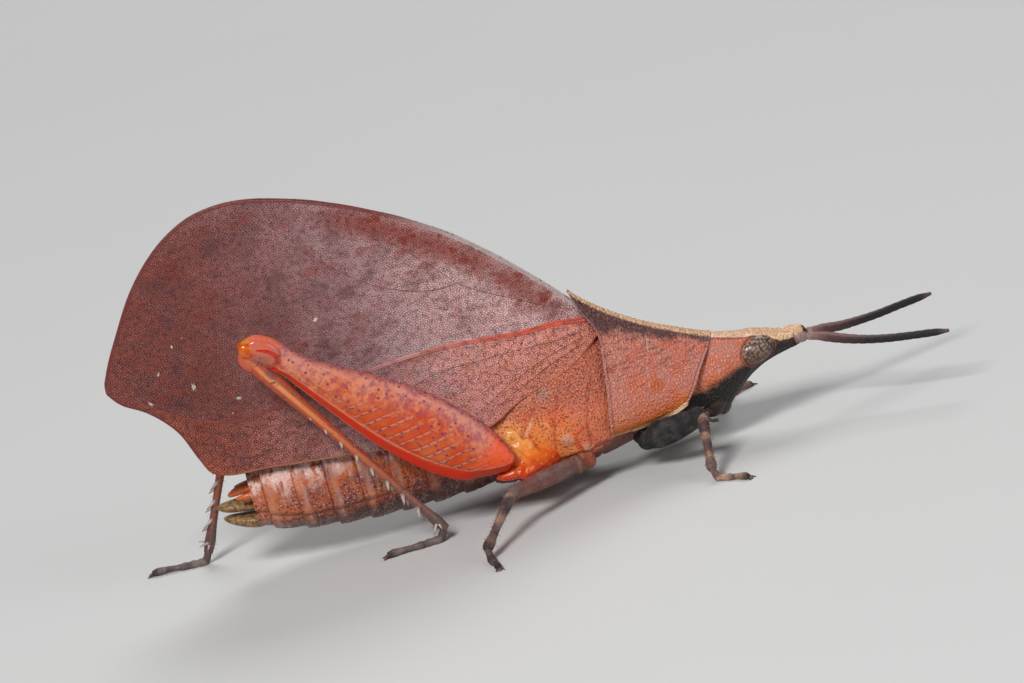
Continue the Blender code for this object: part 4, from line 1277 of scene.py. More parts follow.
@dataclass
class Shield:
    """The pronotum: a roof-shaped shield with a toothed crest and rolled rims."""

    form: BodyForm = BodyForm((
        (3.9, 2.9, 4.5, 13.85, 4.25, 3.0, 1.22), (4.55, 2.9, 4.5, 13.05, 4.23, 3.0, 1.22),
        (5.4, 2.9, 4.5, 12.15, 4.18, 3.0, 1.24), (6.4, 2.95, 4.5, 11.27, 4.06, 3.0, 1.26),
        (7.6, 3.0, 4.45, 10.38, 3.85, 3.0, 1.3), (9.0, 3.05, 4.4, 9.48, 3.55, 3.0, 1.36),
        (10.5, 3.1, 4.4, 8.7, 3.2, 3.0, 1.44), (12.0, 3.2, 4.4, 7.98, 2.85, 3.0, 1.55),
        (13.6, 3.3, 4.4, 7.3, 2.5, 3.0, 1.65),
    ))
    rear: tuple = (
        (4.42, 13.2), (4.85, 12.0), (5.2, 11.2), (5.6, 10.4), (5.72, 9.4), (5.58, 8.2), (5.28, 6.4),
        (4.93, 4.6), (4.75, 3.2),
    )
    front: tuple = (
        (13.12, 7.5), (12.82, 7.0), (12.24, 6.4), (11.52, 5.5), (10.85, 4.6), (10.4, 4.1), (10.2, 3.92),
    )
    low: tuple = ((4.75, 3.2), (5.6, 3.1), (6.8, 3.2), (8.2, 3.38), (9.4, 3.62), (10.2, 3.92))
    furrows: tuple = (
        ((8.89, 8.77), (8.7, 8.0), (8.25, 6.78), (8.14, 5.86)),
        ((10.09, 8.35), (10.0, 7.9), (9.81, 7.58)),
    )
    glow: Row = (8.6, 5.75)
    lip: float = 0.05
    lip_depth: float = 0.45
    hem: float = 0.1
    sides_end: float = 0.86
    middle_z: float = 7.5
    tooth: float = 0.01
    tooth_pitches: Row = (0.42, 0.27)
    grid: tuple = (150, 230)

    def side_view(self, along: Points, down: Points) -> Points:
        """The (x, z) places by shares from the rear to the front and from the crest to the lower margin.

        Args:
            along: Shares from rear to front.
            down: Shares from crest to margin.

        Returns:
            The places.
        """
        def by_length(line: Sequence[Row], share: Points) -> Points:
            """Places on a line by shares of its length.

            Args:
                line: The line's corners.
                share: The shares.

            Returns:
                The places.
            """
            corners = np.array(line, float)
            run = np.concatenate([[0], np.cumsum(np.linalg.norm(np.diff(corners, axis=0), axis=1))])
            return eased(np.column_stack([run / run[-1], corners]), share)

        x_crest = self.rear[0][0] + (self.front[0][0] - self.rear[0][0]) * along
        crest = np.column_stack([x_crest, eased(self.form.rows, x_crest)[:, 2]])
        low, rear = by_length(self.low, along), by_length(self.rear, down)
        front = by_length(self.front, down)
        u, w = along[:, None], down[:, None]
        corner = [np.array(p) for p in (self.rear[0], self.front[0], self.rear[-1], self.front[-1])]
        flat = (1 - u) * ((1 - w) * corner[0] + w * corner[2]) + u * ((1 - w) * corner[1] + w * corner[3])
        return (1 - w) * crest + w * low + (1 - u) * rear + u * front - flat

    def spread(self, along: Points, around: Points) -> Points:
        """The shield's places, with lips turned in at both ends, over the crest and along the underside.

        Args:
            along: Shares from the rear to the front.
            around: Shares of a turn.

        Returns:
            The places.
        """
        u = np.clip((along - self.lip) / (1 - 2 * self.lip), 0, 1)
        inside = np.clip(self.lip - along, 0, 1) + np.clip(along - 1 + self.lip, 0, 1)
        inwards = np.where(along < 0.5, 1.0, -1.0) * inside / self.lip
        t = around / self.sides_end
        down = np.clip(np.abs(2 * t - 1), 0, 1)
        flat = self.side_view(u, down)
        y = self.form.breadth(flat[:, 0], flat[:, 1]) * np.sign(2 * np.clip(t, 0, 1) - 1)
        under = np.clip((t - 1) / (1 / self.sides_end - 1), 0, 1)
        y = np.where(t > 1, y * (1 - 2 * under), y)
        z = flat[:, 1] + np.where(t > 1, 0.5 * np.sin(math.pi * under), 0)
        shrink = 1 - 0.05 * np.abs(inwards)
        z = self.middle_z + (z - self.middle_z) * shrink
        return np.column_stack([flat[:, 0] + self.lip_depth * inwards, y * shrink, z])

    def build(self) -> None:
        """Makes and places the shield."""
        piece = wrapped_sheet("pronotum_shield", *self.grid, self.spread)
        close_up(piece)
        points = corners_of(piece)
        flat = points[:, [0, 2]]
        crest = eased(self.form.rows, points[:, 0])[:, 2] - points[:, 2]
        low, rear, front = (nearest(flat, line) for line in (self.low, self.rear, self.front))
        lines = nearest(flat, *self.furrows)
        x = points[:, 0]
        teeth = sum(self.tooth * np.sin(2 * math.pi * x / pitch) for pitch in self.tooth_pitches)
        heights = (0.08 + teeth) * hump(crest, 0.26) - 0.05 * hump(crest - 0.75, 0.25)
        heights += 0.09 * hump(low, 0.13) + 0.07 * hump(rear, 0.12) + 0.07 * hump(front, 0.12)
        heights -= 0.04 * hump(lines, 0.1)
        lift(piece, heights)
        note(piece, "shield", crest, low, rear)
        spot = np.hypot((x - self.glow[0]) / 1.6, points[:, 2] - self.glow[1])
        note(piece, "lines", lines, front, spot)
        place_on_body(piece, ShieldFinish().build(), "pronotum", "pronotum", angle=50)
        edge = smooth_line(self.low, 8)
        out = self.form.breadth(edge[:, 0], edge[:, 1]) + 0.5 * self.hem
        edge[:, 1] -= 0.6 * self.hem
        hems = [
            rod("hem", np.column_stack([edge[:, 0], side.value * out, edge[:, 1]]), 0.8 * self.hem)
            for side in Side
        ]
        cream = PlainFinish("shield_hem", Hue(0.86, 0.62, 0.42), Hue(0.76, 0.40, 0.22), 3.0, 0.35).build()
        place_on_body(joined("pronotum_hem", hems), cream, "pronotum")


@dataclass(frozen=True)
class HeadFinish:
    """The head: reddish sides, a tan band over the top, and a charcoal face."""

    def build(self) -> bpy.types.Material:
        """The head's material.

        Returns:
            The material.
        """
        paint = Paint("head_horn")
        crown, gloom, orbit = paint.split(paint.noted("head"))
        # The pitted red sides, with painted shade in the hollows between the granules.
        haze = paint.clouds(paint.place, 0.8, 3.0, 0.6)
        grain = paint.clouds(paint.place, 6.5, 2.0, 0.6)
        shaded_hollows = paint.dots(paint.place, 5.0, 0.95).soft(0.3, 0.66)
        paint.colour = paint.mix(haze.soft(0.38, 0.62), Hue(0.78, 0.19, 0.09), Hue(0.68, 0.25, 0.18))
        # Painted shade: the hollows between the granules darkened.
        paint.over(shaded_hollows * 0.4, Hue(0.15, 0.045, 0.035))
        paint.over(grain.soft(0.54, 0.7, 0.3), Hue(0.7, 0.38, 0.3))
        # The charcoal face, with a rust-coloured border, and the eye's rim.
        edge = gloom + grain * 0.2 + haze * 0.9 - 0.55
        paint.over(edge.soft(0.9, 0.3, 0.6), Hue(0.5, 0.14, 0.05))
        paint.over(edge.soft(0.5, -0.1), Hue(0.017, 0.013, 0.012))
        speck = edge.soft(0.1, -0.3) * grain.soft(0.6, 0.75, 0.4)
        paint.over(speck, Hue(0.15, 0.1, 0.085))
        paint.over(orbit.soft(0.1, 0.03, 0.85), Hue(0.26, 0.06, 0.03))
        # The tan crown.
        tan = paint.mix(grain.soft(0.42, 0.6), Hue(0.84, 0.54, 0.34), Hue(0.68, 0.38, 0.23))
        border = crown + grain * 0.5 - 0.25
        paint.over(border.band(1.3, 0.5, 0.7), Hue(0.08, 0.04, 0.038))
        paint.over(border.soft(1.1, 0.9), tan)
        height = shaded_hollows * -0.07 + grain * 0.06 + haze * 0.1
        return paint.coat(grain * 0.2 + 0.38, height, Specular_IOR_Level=0.35)


@dataclass(frozen=True)
class EyeFinish:
    """A glossy compound eye, mottled brown and gold, with fine facets."""

    def build(self) -> bpy.types.Material:
        """The eye's material.

        Returns:
            The material.
        """
        paint = Paint("compound_eye")
        _, _, z = paint.split(paint.place)
        facets = paint.net(paint.place, 12.0, 0.35)
        haze = paint.clouds(paint.place, 1.4, 3.0, 0.65)
        cells = paint.dots(paint.turned(paint.place, (0, 25, 0), (1.1, 1, 0.8)), 4.3, 0.6)
        paint.colour = paint.mix(haze.soft(0.4, 0.62), Hue(0.075, 0.036, 0.018), Hue(0.04, 0.02, 0.013))
        # The pale flecks grow paler on the eye's upper part: a painted sheen.
        pale = paint.mix(z.soft(5.2, 6.2), Hue(0.3, 0.17, 0.1), Hue(0.56, 0.38, 0.29))
        flecks = cells.soft(0.58, 0.36) * haze.soft(0.78, 0.5)
        paint.over(flecks * 0.6, pale)
        paint.over(facets.soft(0.16, 0.02, 0.3), Hue(0.02, 0.013, 0.013))
        height = facets.soft(0.0, 0.3, 0.01) + flecks * 0.015
        return paint.coat(0.26, height, Specular_IOR_Level=0.4, Coat_Weight=0.3, Coat_Roughness=0.12)


@dataclass
class Head:
    """The cone-shaped head with its eyes, ocelli, mouth and feelers."""

    form: BodyForm = BodyForm((
        (9.7, 2.7, 5.0, 7.4, 1.9, 2.6, 1.5), (10.3, 2.45, 4.9, 7.5, 2.2, 2.5, 1.5),
        (11.4, 2.3, 4.8, 7.5, 2.32, 2.2, 1.5), (12.4, 2.1, 4.6, 7.5, 2.3, 2.3, 1.55),
        (13.2, 2.3, 4.7, 7.46, 2.2, 2.3, 1.7), (14.0, 3.05, 5.0, 7.27, 2.0, 2.2, 2.0),
        (15.0, 3.85, 5.4, 7.03, 1.7, 2.0, 2.4), (16.0, 4.4, 5.7, 6.84, 1.4, 2.0, 2.6),
        (17.0, 4.72, 5.75, 6.52, 1.12, 2.0, 2.8), (18.0, 4.92, 5.8, 6.27, 0.88, 2.0, 3.0),
        (18.8, 5.07, 5.85, 6.28, 0.7, 2.0, 3.0), (19.3, 5.35, 5.85, 6.14, 0.48, 2.0, 2.6),
        (19.5, 5.6, 5.8, 5.95, 0.25, 2.0, 2.0),
    ))
    eye_centre: Row = (15.6, 1.0, 5.64)
    eye_radii: Row = (1.6, 0.88, 0.92)
    eye_tilt: float = -13.0
    crown_depth: tuple = ((10.0, 0.2), (13.5, 0.2), (15.0, 0.2), (16.6, 0.27), (17.6, 0.45), (19.5, 0.6))
    gloom_edge: tuple = (
        (9.0, 3.9), (10.22, 4.0), (12.6, 4.24), (14.77, 4.95), (16.0, 5.2), (17.24, 5.68), (18.25, 5.88),
        (19.6, 6.0),
    )
    cheek: tuple = ((15.2, 4.95), (14.4, 4.1), (13.4, 3.3))
    labrum: tuple = ((12.75, 0, 2.35), (0.55, 1.0, 0.75), 0.5)
    clypeus: tuple = ((13.15, 0, 2.95), (0.42, 0.95, 0.5))
    mandible: tuple = ((11.9, 1.05, 2.55), (0.9, 0.55, 0.62))
    cheek_lobe: tuple = ((12.3, 1.5, 3.1), (0.7, 0.5, 0.75))
    scape: tuple = ((19.0, 0.42, 5.55), (0.6, 0.36, 0.42))
    scape_turn: float = 0.25
    socket_ring: Row = (0.4, 0.07)
    pedicel: tuple = ((19.72, 0.6, 5.45), (0.36, 0.27, 0.3))
    palp: tuple = (
        (11.6, 1.4, 2.6), (11.35, 1.68, 2.15), (11.25, 1.78, 1.85), (11.6, 1.85, 1.52), (12.05, 1.76, 1.4),
        (12.35, 1.68, 1.42),
    )
    palp_radius: float = 0.23
    ocellus: tuple = ((17.64, 0.9, 5.98), (0.26, 0.16, 0.23))
    crowding: float = 1.25
    grid: tuple = (130, 150)

    def eye_turn(self) -> Matrix:
        """How the eye's oval is tilted."""
        return Matrix.Rotation(math.radians(self.eye_tilt), 3, "Y")

    def eye_gap(self, points: Points) -> Points:
        """How far places are outside the edge of the nearer eye, about in millimetres.

        Args:
            points: The places.

        Returns:
            One distance for each.
        """
        turn = np.array(self.eye_turn())
        left = np.column_stack([points[:, 0], np.abs(points[:, 1]), points[:, 2]])
        share = np.linalg.norm((left - self.eye_centre) @ turn / self.eye_radii, axis=1)
        return (share - 1) * float(np.mean(self.eye_radii))

    def skull(self) -> Piece:
        """The skull with its carinae, cheek furrows, eye rims and the hollow at its tip.

        Returns:
            The skull, with "head" noted for its finish.
        """
        rear, tip = self.form.rows[0][0], self.form.rows[-1][0]

        def spread(along: Points, around: Points) -> Points:
            """Places on the skull, by shares along and round it, closer together at its tip."""
            return self.form.around(rear + (tip - rear) * (1 - (1 - along) ** self.crowding), around)

        piece = wrapped_sheet("head_skull", *self.grid, spread)
        close_up(piece)
        points = corners_of(piece)
        x, y, z = points.T
        low, wide, high, half, _, _ = eased(self.form.rows, x).T
        top_share, side_share = (z - wide) / (high - wide), np.abs(y) / half
        orbit = np.abs(self.eye_gap(points) - 0.06)
        corner = hump(np.hypot(top_share - 0.8, side_share - 0.8), 0.14)
        heights = 0.07 * corner * rise(x, 11.5, 13.5)
        heights -= 0.06 * hump(side_share, 0.45) * rise(top_share, 0.7, 1.0) * rise(x, 13, 16)
        heights -= 0.16 * hump(side_share, 0.5) * rise(top_share, 0.5, 0.9) * hump(x - 18.6, 0.55)
        heights += 0.05 * hump(orbit, 0.08)
        cheek = nearest(points[:, [0, 2]], self.cheek)
        heights -= 0.06 * hump(cheek, 0.13) * rise(side_share, 0.4, 0.7)
        face = rise(-(z - wide) / (wide - low), 0.5, 0.9) * rise(x, 13.2, 14.2)
        heights += face * (0.09 * hump(np.abs(y) - 0.3, 0.1) - 0.05 * hump(y, 0.16))
        lift(piece, heights)
        edge = eased(self.gloom_edge, x)[:, 0]
        crown = np.where(x < 19.3, (high - z) / eased(self.crown_depth, x)[:, 0], 2.0)
        note(piece, "head", crown, z - edge, orbit)
        return piece

    def mouth(self) -> Piece:
        """The lip, its shield above, and the jaws.

        Returns:
            The piece.
        """
        centre, radii, tilt = self.labrum
        turn = Matrix.Rotation(tilt, 3, "Y")
        lip = ball("lip", centre, radii, turn, 36)
        points = corners_of(lip)
        notch = hump(points[:, 1], 0.16) * rise(-points[:, 2], -2.3, -1.6)
        points[:, 2] += 0.16 * notch
        lay(lip, points)
        pieces = [lip, ball("clypeus", *self.clypeus, turn, 30)]
        for side in Side:
            for (x, y, z), radii in (self.mandible, self.cheek_lobe):
                pieces.append(ball("jaw", (x, y * side.value, z), radii, None, 30))
        return joined("head_mouth", pieces)

    def palps(self) -> Piece:
        """The four small feelers of the mouth, in segments.

        Returns:
            The piece.
        """
        pieces = []
        for side in Side:
            for scale, shift in ((0.66, (0, 0, 0)), (0.5, (0.55, -0.75, 0.3))):
                spots, radii = [], []
                flip = np.array([1, side.value, 1])
                path = np.array(self.palp) * flip
                path = path[0] + (path - path[0]) * scale + shift * flip
                for a, b in zip(path, path[1:]):
                    for share, swell in ((0.04, 0.62), (0.3, 0.86), (0.7, 1.0), (0.96, 0.72)):
                        spots.append(a + (b - a) * share)
                        radii.append(self.palp_radius * swell * scale)
                pieces.append(rod("palp", np.array(spots), radii, 12, (0, 1, 0)))
        whole = joined("head_palps", pieces)
        rounder(whole)
        return whole

    def scapes(self) -> Piece:
        """The first joint of each antenna, with its socket's ring, and the second joint.

        Returns:
            The piece.
        """
        pieces = []
        for side in Side:
            (x, y, z), radii = self.scape
            turn = Matrix.Rotation(self.scape_turn, 3, "Y")
            pieces.append(ball("scape", (x, y * side.value, z), radii, turn, 28))
            clear_selection()
            wide, thin = self.socket_ring
            bpy.ops.mesh.primitive_torus_add(
                major_segments=32, minor_segments=10, major_radius=wide, minor_radius=thin,
                location=(x - 0.36, y * side.value, z + 0.06), rotation=(0, math.radians(82), 0),
            )
            bpy.ops.object.transform_apply(location=True, rotation=True)
            pieces.append(bpy.context.active_object)
            (x, y, z), radii = self.pedicel
            pieces.append(ball("pedicel", (x, y * side.value, z), radii, None, 20))
        return joined("head_scapes", pieces)

    def eye(self, side: Side) -> Piece:
        """An eye, set into the skull."""
        x, y, z = self.eye_centre
        return ball(f"eye_globe_{side.label}", (x, y * side.value, z), self.eye_radii, self.eye_turn(), 64)

    def ocelli(self) -> Piece:
        """The small simple eyes beside the head's tip.

        Returns:
            The piece.
        """
        (x, y, z), radii = self.ocellus
        pair = [ball("ocellus", (x, side.value * y, z), radii, None, 20) for side in Side]
        return joined("head_ocelli", pair)

    def build(self) -> None:
        """Makes and places the head's pieces."""
        horn = HeadFinish().build()
        globe = EyeFinish().build()
        soot = PlainFinish(
            "mouth_horn", Hue(0.016, 0.012, 0.011), Hue(0.05, 0.018, 0.014), 2.0, 0.45, 0.02,
        ).build()
        flesh = PlainFinish("palp_horn", Hue(0.03, 0.018, 0.016), Hue(0.08, 0.04, 0.032), 2.2, 0.4).build()
        rust = PlainFinish(
            "scape_horn", Hue(0.24, 0.15, 0.13), Hue(0.34, 0.22, 0.19), 3.4, 0.45, 0.03,
        ).build()
        bead = PlainFinish("ocellus_lens", Hue(0.85, 0.62, 0.36), Hue(0.55, 0.34, 0.16), 5.0, 0.15).build()
        place_on_body(self.skull(), horn, "head", "head")
        place_on_body(self.mouth(), soot, "head")
        place_on_body(self.palps(), flesh, "head")
        place_on_body(self.scapes(), rust, "head")
        place_on_body(self.ocelli(), bead, "eye")
        for side in Side:
            place_on_body(self.eye(side), globe, "eye", f"eye_{side.label}")


@dataclass(frozen=True)
class AntennaFinish:
    """Grey-black rings, reddish at the root and pinkish at the tip."""

    length: float = 10.4

    def build(self) -> bpy.types.Material:
        """The antenna's material.

        Returns:
            The material.
        """
        paint = Paint("antenna_rings")
        along, above, _ = paint.split(paint.noted("limb"))
        grain = paint.clouds(paint.place, 7.0, 3.0, 0.6)
        stops = (
            (0.0, Hue(0.26, 0.14, 0.125)), (0.12, Hue(0.09, 0.04, 0.038)), (0.4, Hue(0.018, 0.013, 0.016)),
            (0.9, Hue(0.014, 0.012, 0.015)), (0.99, Hue(0.14, 0.08, 0.075)),
        )
        paint.colour = paint.ramp(along / self.length, stops)
        paint.over(grain.soft(0.54, 0.75, 0.25), Hue(0.1, 0.075, 0.08))
        ridge = above.soft(0.14, 0.3, 0.6) * along.soft(9.0, 2.0, 0.8)
        paint.over(ridge, Hue(0.3, 0.18, 0.16))
        return paint.coat(0.6, grain * 0.05, Specular_IOR_Level=0.3)


@dataclass
class Antennae:
    """The two short sword-shaped antennae, in flattened rings."""

    line: tuple = (
        (20.0, 0.75, 5.4, 0.31, 0.3), (20.7, 1.1, 5.22, 0.4, 0.32), (21.8, 1.7, 4.92, 0.4, 0.3),
        (23.0, 2.45, 4.7, 0.36, 0.29), (24.6, 3.3, 4.53, 0.33, 0.28), (26.2, 4.1, 4.47, 0.31, 0.27),
        (27.8, 4.8, 4.42, 0.28, 0.26), (28.7, 5.15, 4.38, 0.17, 0.16),
    )
    rings: int = 15
    outline: tuple = ((0.0, 0.93), (0.1, 0.98), (0.5, 1.02), (0.86, 1.0), (0.97, 0.92))
    flatness: float = 0.84
    slant: float = 1.15

    def feeler(self) -> Piece:
        """The left antenna.

        Returns:
            The antenna, with "limb" noted for its finish.
        """
        start, end = self.line[0][0] - 0.25, self.line[-1][0]
        xs, swells = [], []
        for k in range(self.rings):
            for share, swell in self.outline:
                xs.append(start + (end - start) * (k + share) / self.rings)
                swells.append(swell)
        y, z, deep, half = eased(self.line, np.array(xs)).T
        path = np.column_stack([xs, y, z])
        taper = np.array(swells) * np.where(np.array(xs) > end - 0.3, 0.8, 1.0)
        depths = deep * taper * self.flatness
        rings = limb_rings(path, depths, depths, half * taper, (0, 0, 1), 20, 2.3)
        piece = tube("antenna_blade_left", rings)
        points = corners_of(piece)
        middle = eased(self.line, points[:, 0])
        along = (points[:, 0] - start) * self.slant
        note(piece, "limb", along, points[:, 2] - middle[:, 1])
        return piece

    def build(self) -> None:
        """Makes and places both antennae."""
        place_pair(self.feeler(), AntennaFinish().build(), "antenna", "antenna", angle=60)


@dataclass(frozen=True)
class ThoraxFinish:
    """The body below the wings: pitted orange plates with yellow and grey patches and red seams."""

    patches: tuple = (
        ((-1.84, 5.25), 1.3, Hue(0.80, 0.30, 0.06), 0.8), ((-0.1, 4.3), 1.5, Hue(0.74, 0.22, 0.03), 0.7),
        ((0.95, 7.39), 0.7, Hue(0.50, 0.30, 0.26), 0.6), ((1.78, 3.98), 0.55, Hue(0.50, 0.27, 0.20), 0.8),
        ((2.96, 3.03), 0.5, Hue(0.50, 0.25, 0.18), 0.8),
    )

    def build(self) -> bpy.types.Material:
        """The thorax's material.

        Returns:
            The material.
        """
        paint = Paint("thorax_plates")
        x, _, z = paint.split(paint.place)
        seam, pale, red = paint.split(paint.noted("seams"))
        # The orange plates, pinker above and nearly black below.
        haze = paint.clouds(paint.place, 0.6, 3.0, 0.6)
        grain = paint.clouds(paint.place, 6.0, 2.0, 0.6)
        pits = paint.dots(paint.place, 5.4, 0.7).soft(0.42, 0.14)
        shaded_hollows = paint.dots(paint.place, 4.6, 0.95).soft(0.3, 0.66) * z.soft(5.0, 7.0)
        paint.colour = paint.mix(haze.soft(0.38, 0.6), Hue(0.64, 0.11, 0.022), Hue(0.7, 0.2, 0.055))
        paint.over(z.soft(5.4, 7.4, 0.8), Hue(0.66, 0.2, 0.12))
        paint.over(x.soft(1.6, 3.2, 0.75), Hue(0.56, 0.135, 0.075))
        depth = z + haze + x.soft(2.6, 5.5, -1.1)
        paint.over(depth.soft(3.3, 2.3, 0.9), Hue(0.09, 0.03, 0.025))
        # Yellow and grey patches with ragged edges.
        for (at_x, at_z), half, hue, share in self.patches:
            ragged = paint.away(paint.packed(x, 0.0, z), (at_x, 0.0, at_z)) + grain * 0.5 - 0.25
            paint.over(ragged.soft(half, half * 0.2, share), hue)
        # Pits, painted shade in the hollows between the granules, then the pale, red and dark lines.
        smooth = 0.6 - pale.soft(0.35, 0.1, 0.5)
        paint.over(pits * smooth, Hue(0.2, 0.04, 0.022))
        # Painted shade: the hollows between the granules darkened, on the upper part.
        paint.over(shaded_hollows * 0.5, Hue(0.18, 0.045, 0.035))
        paint.over(grain.soft(0.54, 0.72, 0.28), Hue(0.74, 0.38, 0.24))
        paint.over(pale.soft(0.16, 0.04, 0.5), Hue(0.74, 0.42, 0.26))
        paint.over(red.soft(0.18, 0.06, 0.85), Hue(0.55, 0.06, 0.008))
        paint.over(seam.soft(0.1, 0.03, 0.65), Hue(0.34, 0.055, 0.02))
        height = pits * -0.06 - shaded_hollows * 0.07 + grain * 0.06 + haze * 0.15
        return paint.coat(grain * 0.2 + 0.32, height, Specular_IOR_Level=0.4)


@dataclass
class Thorax:
    """The body under the shield and wing roots, with its plates, seams and breastplate."""

    form: BodyForm = BodyForm((
        (-3.4, 1.45, 4.4, 9.3, 3.25, 2.4, 1.7), (-1.5, 1.25, 4.2, 9.8, 3.55, 2.6, 1.6),
        (0.5, 1.2, 4.2, 10.1, 3.75, 2.6, 1.6), (2.5, 1.35, 4.3, 10.3, 3.85, 2.5, 1.6),
        (4.5, 1.6, 4.4, 10.4, 3.8, 2.4, 1.6), (6.5, 1.95, 4.0, 9.2, 3.1, 2.2, 1.7),
        (8.5, 2.3, 3.9, 7.2, 2.3, 2.2, 1.8), (10.0, 2.7, 3.9, 6.0, 1.7, 2.0, 2.0),
    ))
    seams: tuple = (
        ((1.2, 8.0), (0.6, 7.3), (0.05, 6.47), (-0.7, 5.5), (-1.32, 4.57), (-1.6, 3.4)),
        ((2.5, 8.0), (1.9, 6.9), (1.35, 5.53), (0.95, 4.2), (0.82, 3.0), (0.9, 2.2)),
        ((4.6, 7.6), (3.9, 6.2), (3.4, 4.8), (3.3, 3.2)),
        ((4.4, 3.0), (2.0, 2.7), (-0.5, 2.6), (-3.2, 2.9)),
    )
    pale_lines: tuple = (
        ((-0.1, 6.0), (-0.8, 5.0), (-1.2, 4.0)),
        ((0.82, 3.0), (0.2, 2.5), (-0.46, 2.45), (-1.1, 2.7)),
    )
    red_lines: tuple = (((3.05, 4.51), (2.6, 4.3), (2.36, 4.05), (2.5, 3.4), (2.67, 2.75)),)
    knobs: tuple = (((-1.84, 5.25), 0.9, 0.12), ((1.78, 3.98), 0.4, 0.2), ((2.96, 3.03), 0.35, 0.2))
    breast: tuple = (6.3, 3.6, 0.6, -2.4)
    far: float = 9.0
    grid: tuple = (150, 170)

    def build(self) -> None:
        """Makes and places the thorax."""
        rear, front = self.form.rows[0][0], self.form.rows[-1][0]

        def spread(along: Points, around: Points) -> Points:
            """Places on the trunk, by shares along and round it."""
            return self.form.around(rear + (front - rear) * along, around)

        piece = wrapped_sheet("thorax_trunk", *self.grid, spread)
        close_up(piece)
        points = corners_of(piece)
        x, y, z = points.T
        flat = points[:, [0, 2]]
        side = rise(np.abs(y), 1.4, 2.2)
        seam, pale, red = (
            np.where(side > 0.2, nearest(flat, *lines), self.far)
            for lines in (self.seams, self.pale_lines, self.red_lines)
        )
        heights = side * (-0.08 * hump(seam, 0.12) + 0.05 * hump(seam - 0.3, 0.2) + 0.07 * hump(pale, 0.16))
        heights += side * 0.07 * hump(red, 0.13)
        for (at_x, at_z), wide, tall in self.knobs:
            heights += side * tall * hump(np.hypot(x - at_x, z - at_z), wide)
        under = rise(2.4 - z, 0, 0.7)
        for place in self.breast:
            heights -= 0.12 * under * hump(x - place - 0.12 * np.abs(y), 0.13)
        heights -= 0.1 * under * hump(y, 0.13) * rise(4.0 - x, 0, 1)
        lift(piece, heights)
        note(piece, "seams", seam, pale, red)
        place_on_body(piece, ThoraxFinish().build(), "thorax", "thorax")


@dataclass(frozen=True)
class AbdomenFinish:
    """Orange-tan rings speckled with purple and pink, each with a smooth band along its rear edge."""

    def build(self) -> bpy.types.Material:
        """The abdomen's material.

        Returns:
            The material.
        """
        paint = Paint("abdomen_rings")
        x, _, z = paint.split(paint.place)
        ring, fold, _ = paint.split(paint.noted("rings"))
        # The orange rings, with a painted sheen along the top, and dark below.
        haze = paint.clouds(paint.place, 0.7, 3.0, 0.62)
        grain = paint.clouds(paint.place, 6.0, 2.0, 0.6)
        streaks = paint.clouds(paint.turned(paint.place, (0, -12, 0), (1, 1, 0.25)), 2.2, 2.0, 0.6)
        paint.colour = paint.mix(haze.soft(0.36, 0.64), Hue(0.5, 0.1, 0.016), Hue(0.24, 0.06, 0.035))
        paint.over(x.soft(-15.0, -19.5, 0.6), Hue(0.5, 0.14, 0.05))
        # Painted sheen: pale streaks along the top of the rings.
        top_sheen = (z + haze * 3.0).soft(6.8, 8.2, 0.72) * streaks.soft(0.36, 0.56)
        paint.over(top_sheen, Hue(0.9, 0.66, 0.6))
        paint.over((z + haze).soft(4.6, 3.0, 0.9), Hue(0.06, 0.02, 0.014))
        # The smooth band at each ring's rear edge.
        wavy = ring + haze * 0.24 + streaks * 0.1
        band = wavy.band(0.96, 0.17) * z.soft(2.2, 3.4)
        warm = paint.mix(haze.soft(0.42, 0.58), Hue(0.5, 0.19, 0.1), Hue(0.38, 0.19, 0.17))
        paint.over(band * 0.85, warm)
        # Purple specks and pink flakes between the bands.
        plain = 1.0 - band * 0.8
        share = z.soft(6.4, 4.2, 0.6) + 0.4
        specks = paint.dots(paint.place, 4.4).soft(0.5, 0.24)
        blots = specks * grain.soft(0.36, 0.5) * plain * share
        paint.over(blots * 0.9, Hue(0.055, 0.018, 0.035))
        flakes = paint.dots(paint.turned(paint.place, (20, 50, 0)), 6.0).soft(0.34, 0.2)
        pink = flakes * haze.soft(0.4, 0.56) * plain * share * 0.75
        paint.over(pink, Hue(0.66, 0.42, 0.5))
        # Streaks, then the seams and the side fold.
        paint.over(streaks.soft(0.52, 0.72, 0.4), Hue(0.6, 0.3, 0.18))
        paint.over(ring.soft(0.07, 0.01, 0.9), Hue(0.09, 0.026, 0.02))
        paint.over(fold.soft(0.12, 0.03, 0.6), Hue(0.16, 0.045, 0.03))
        height = blots * -0.03 + grain * 0.06 + haze * 0.2
        return paint.coat(grain * 0.2 + 0.2, height, Specular_IOR_Level=0.4)


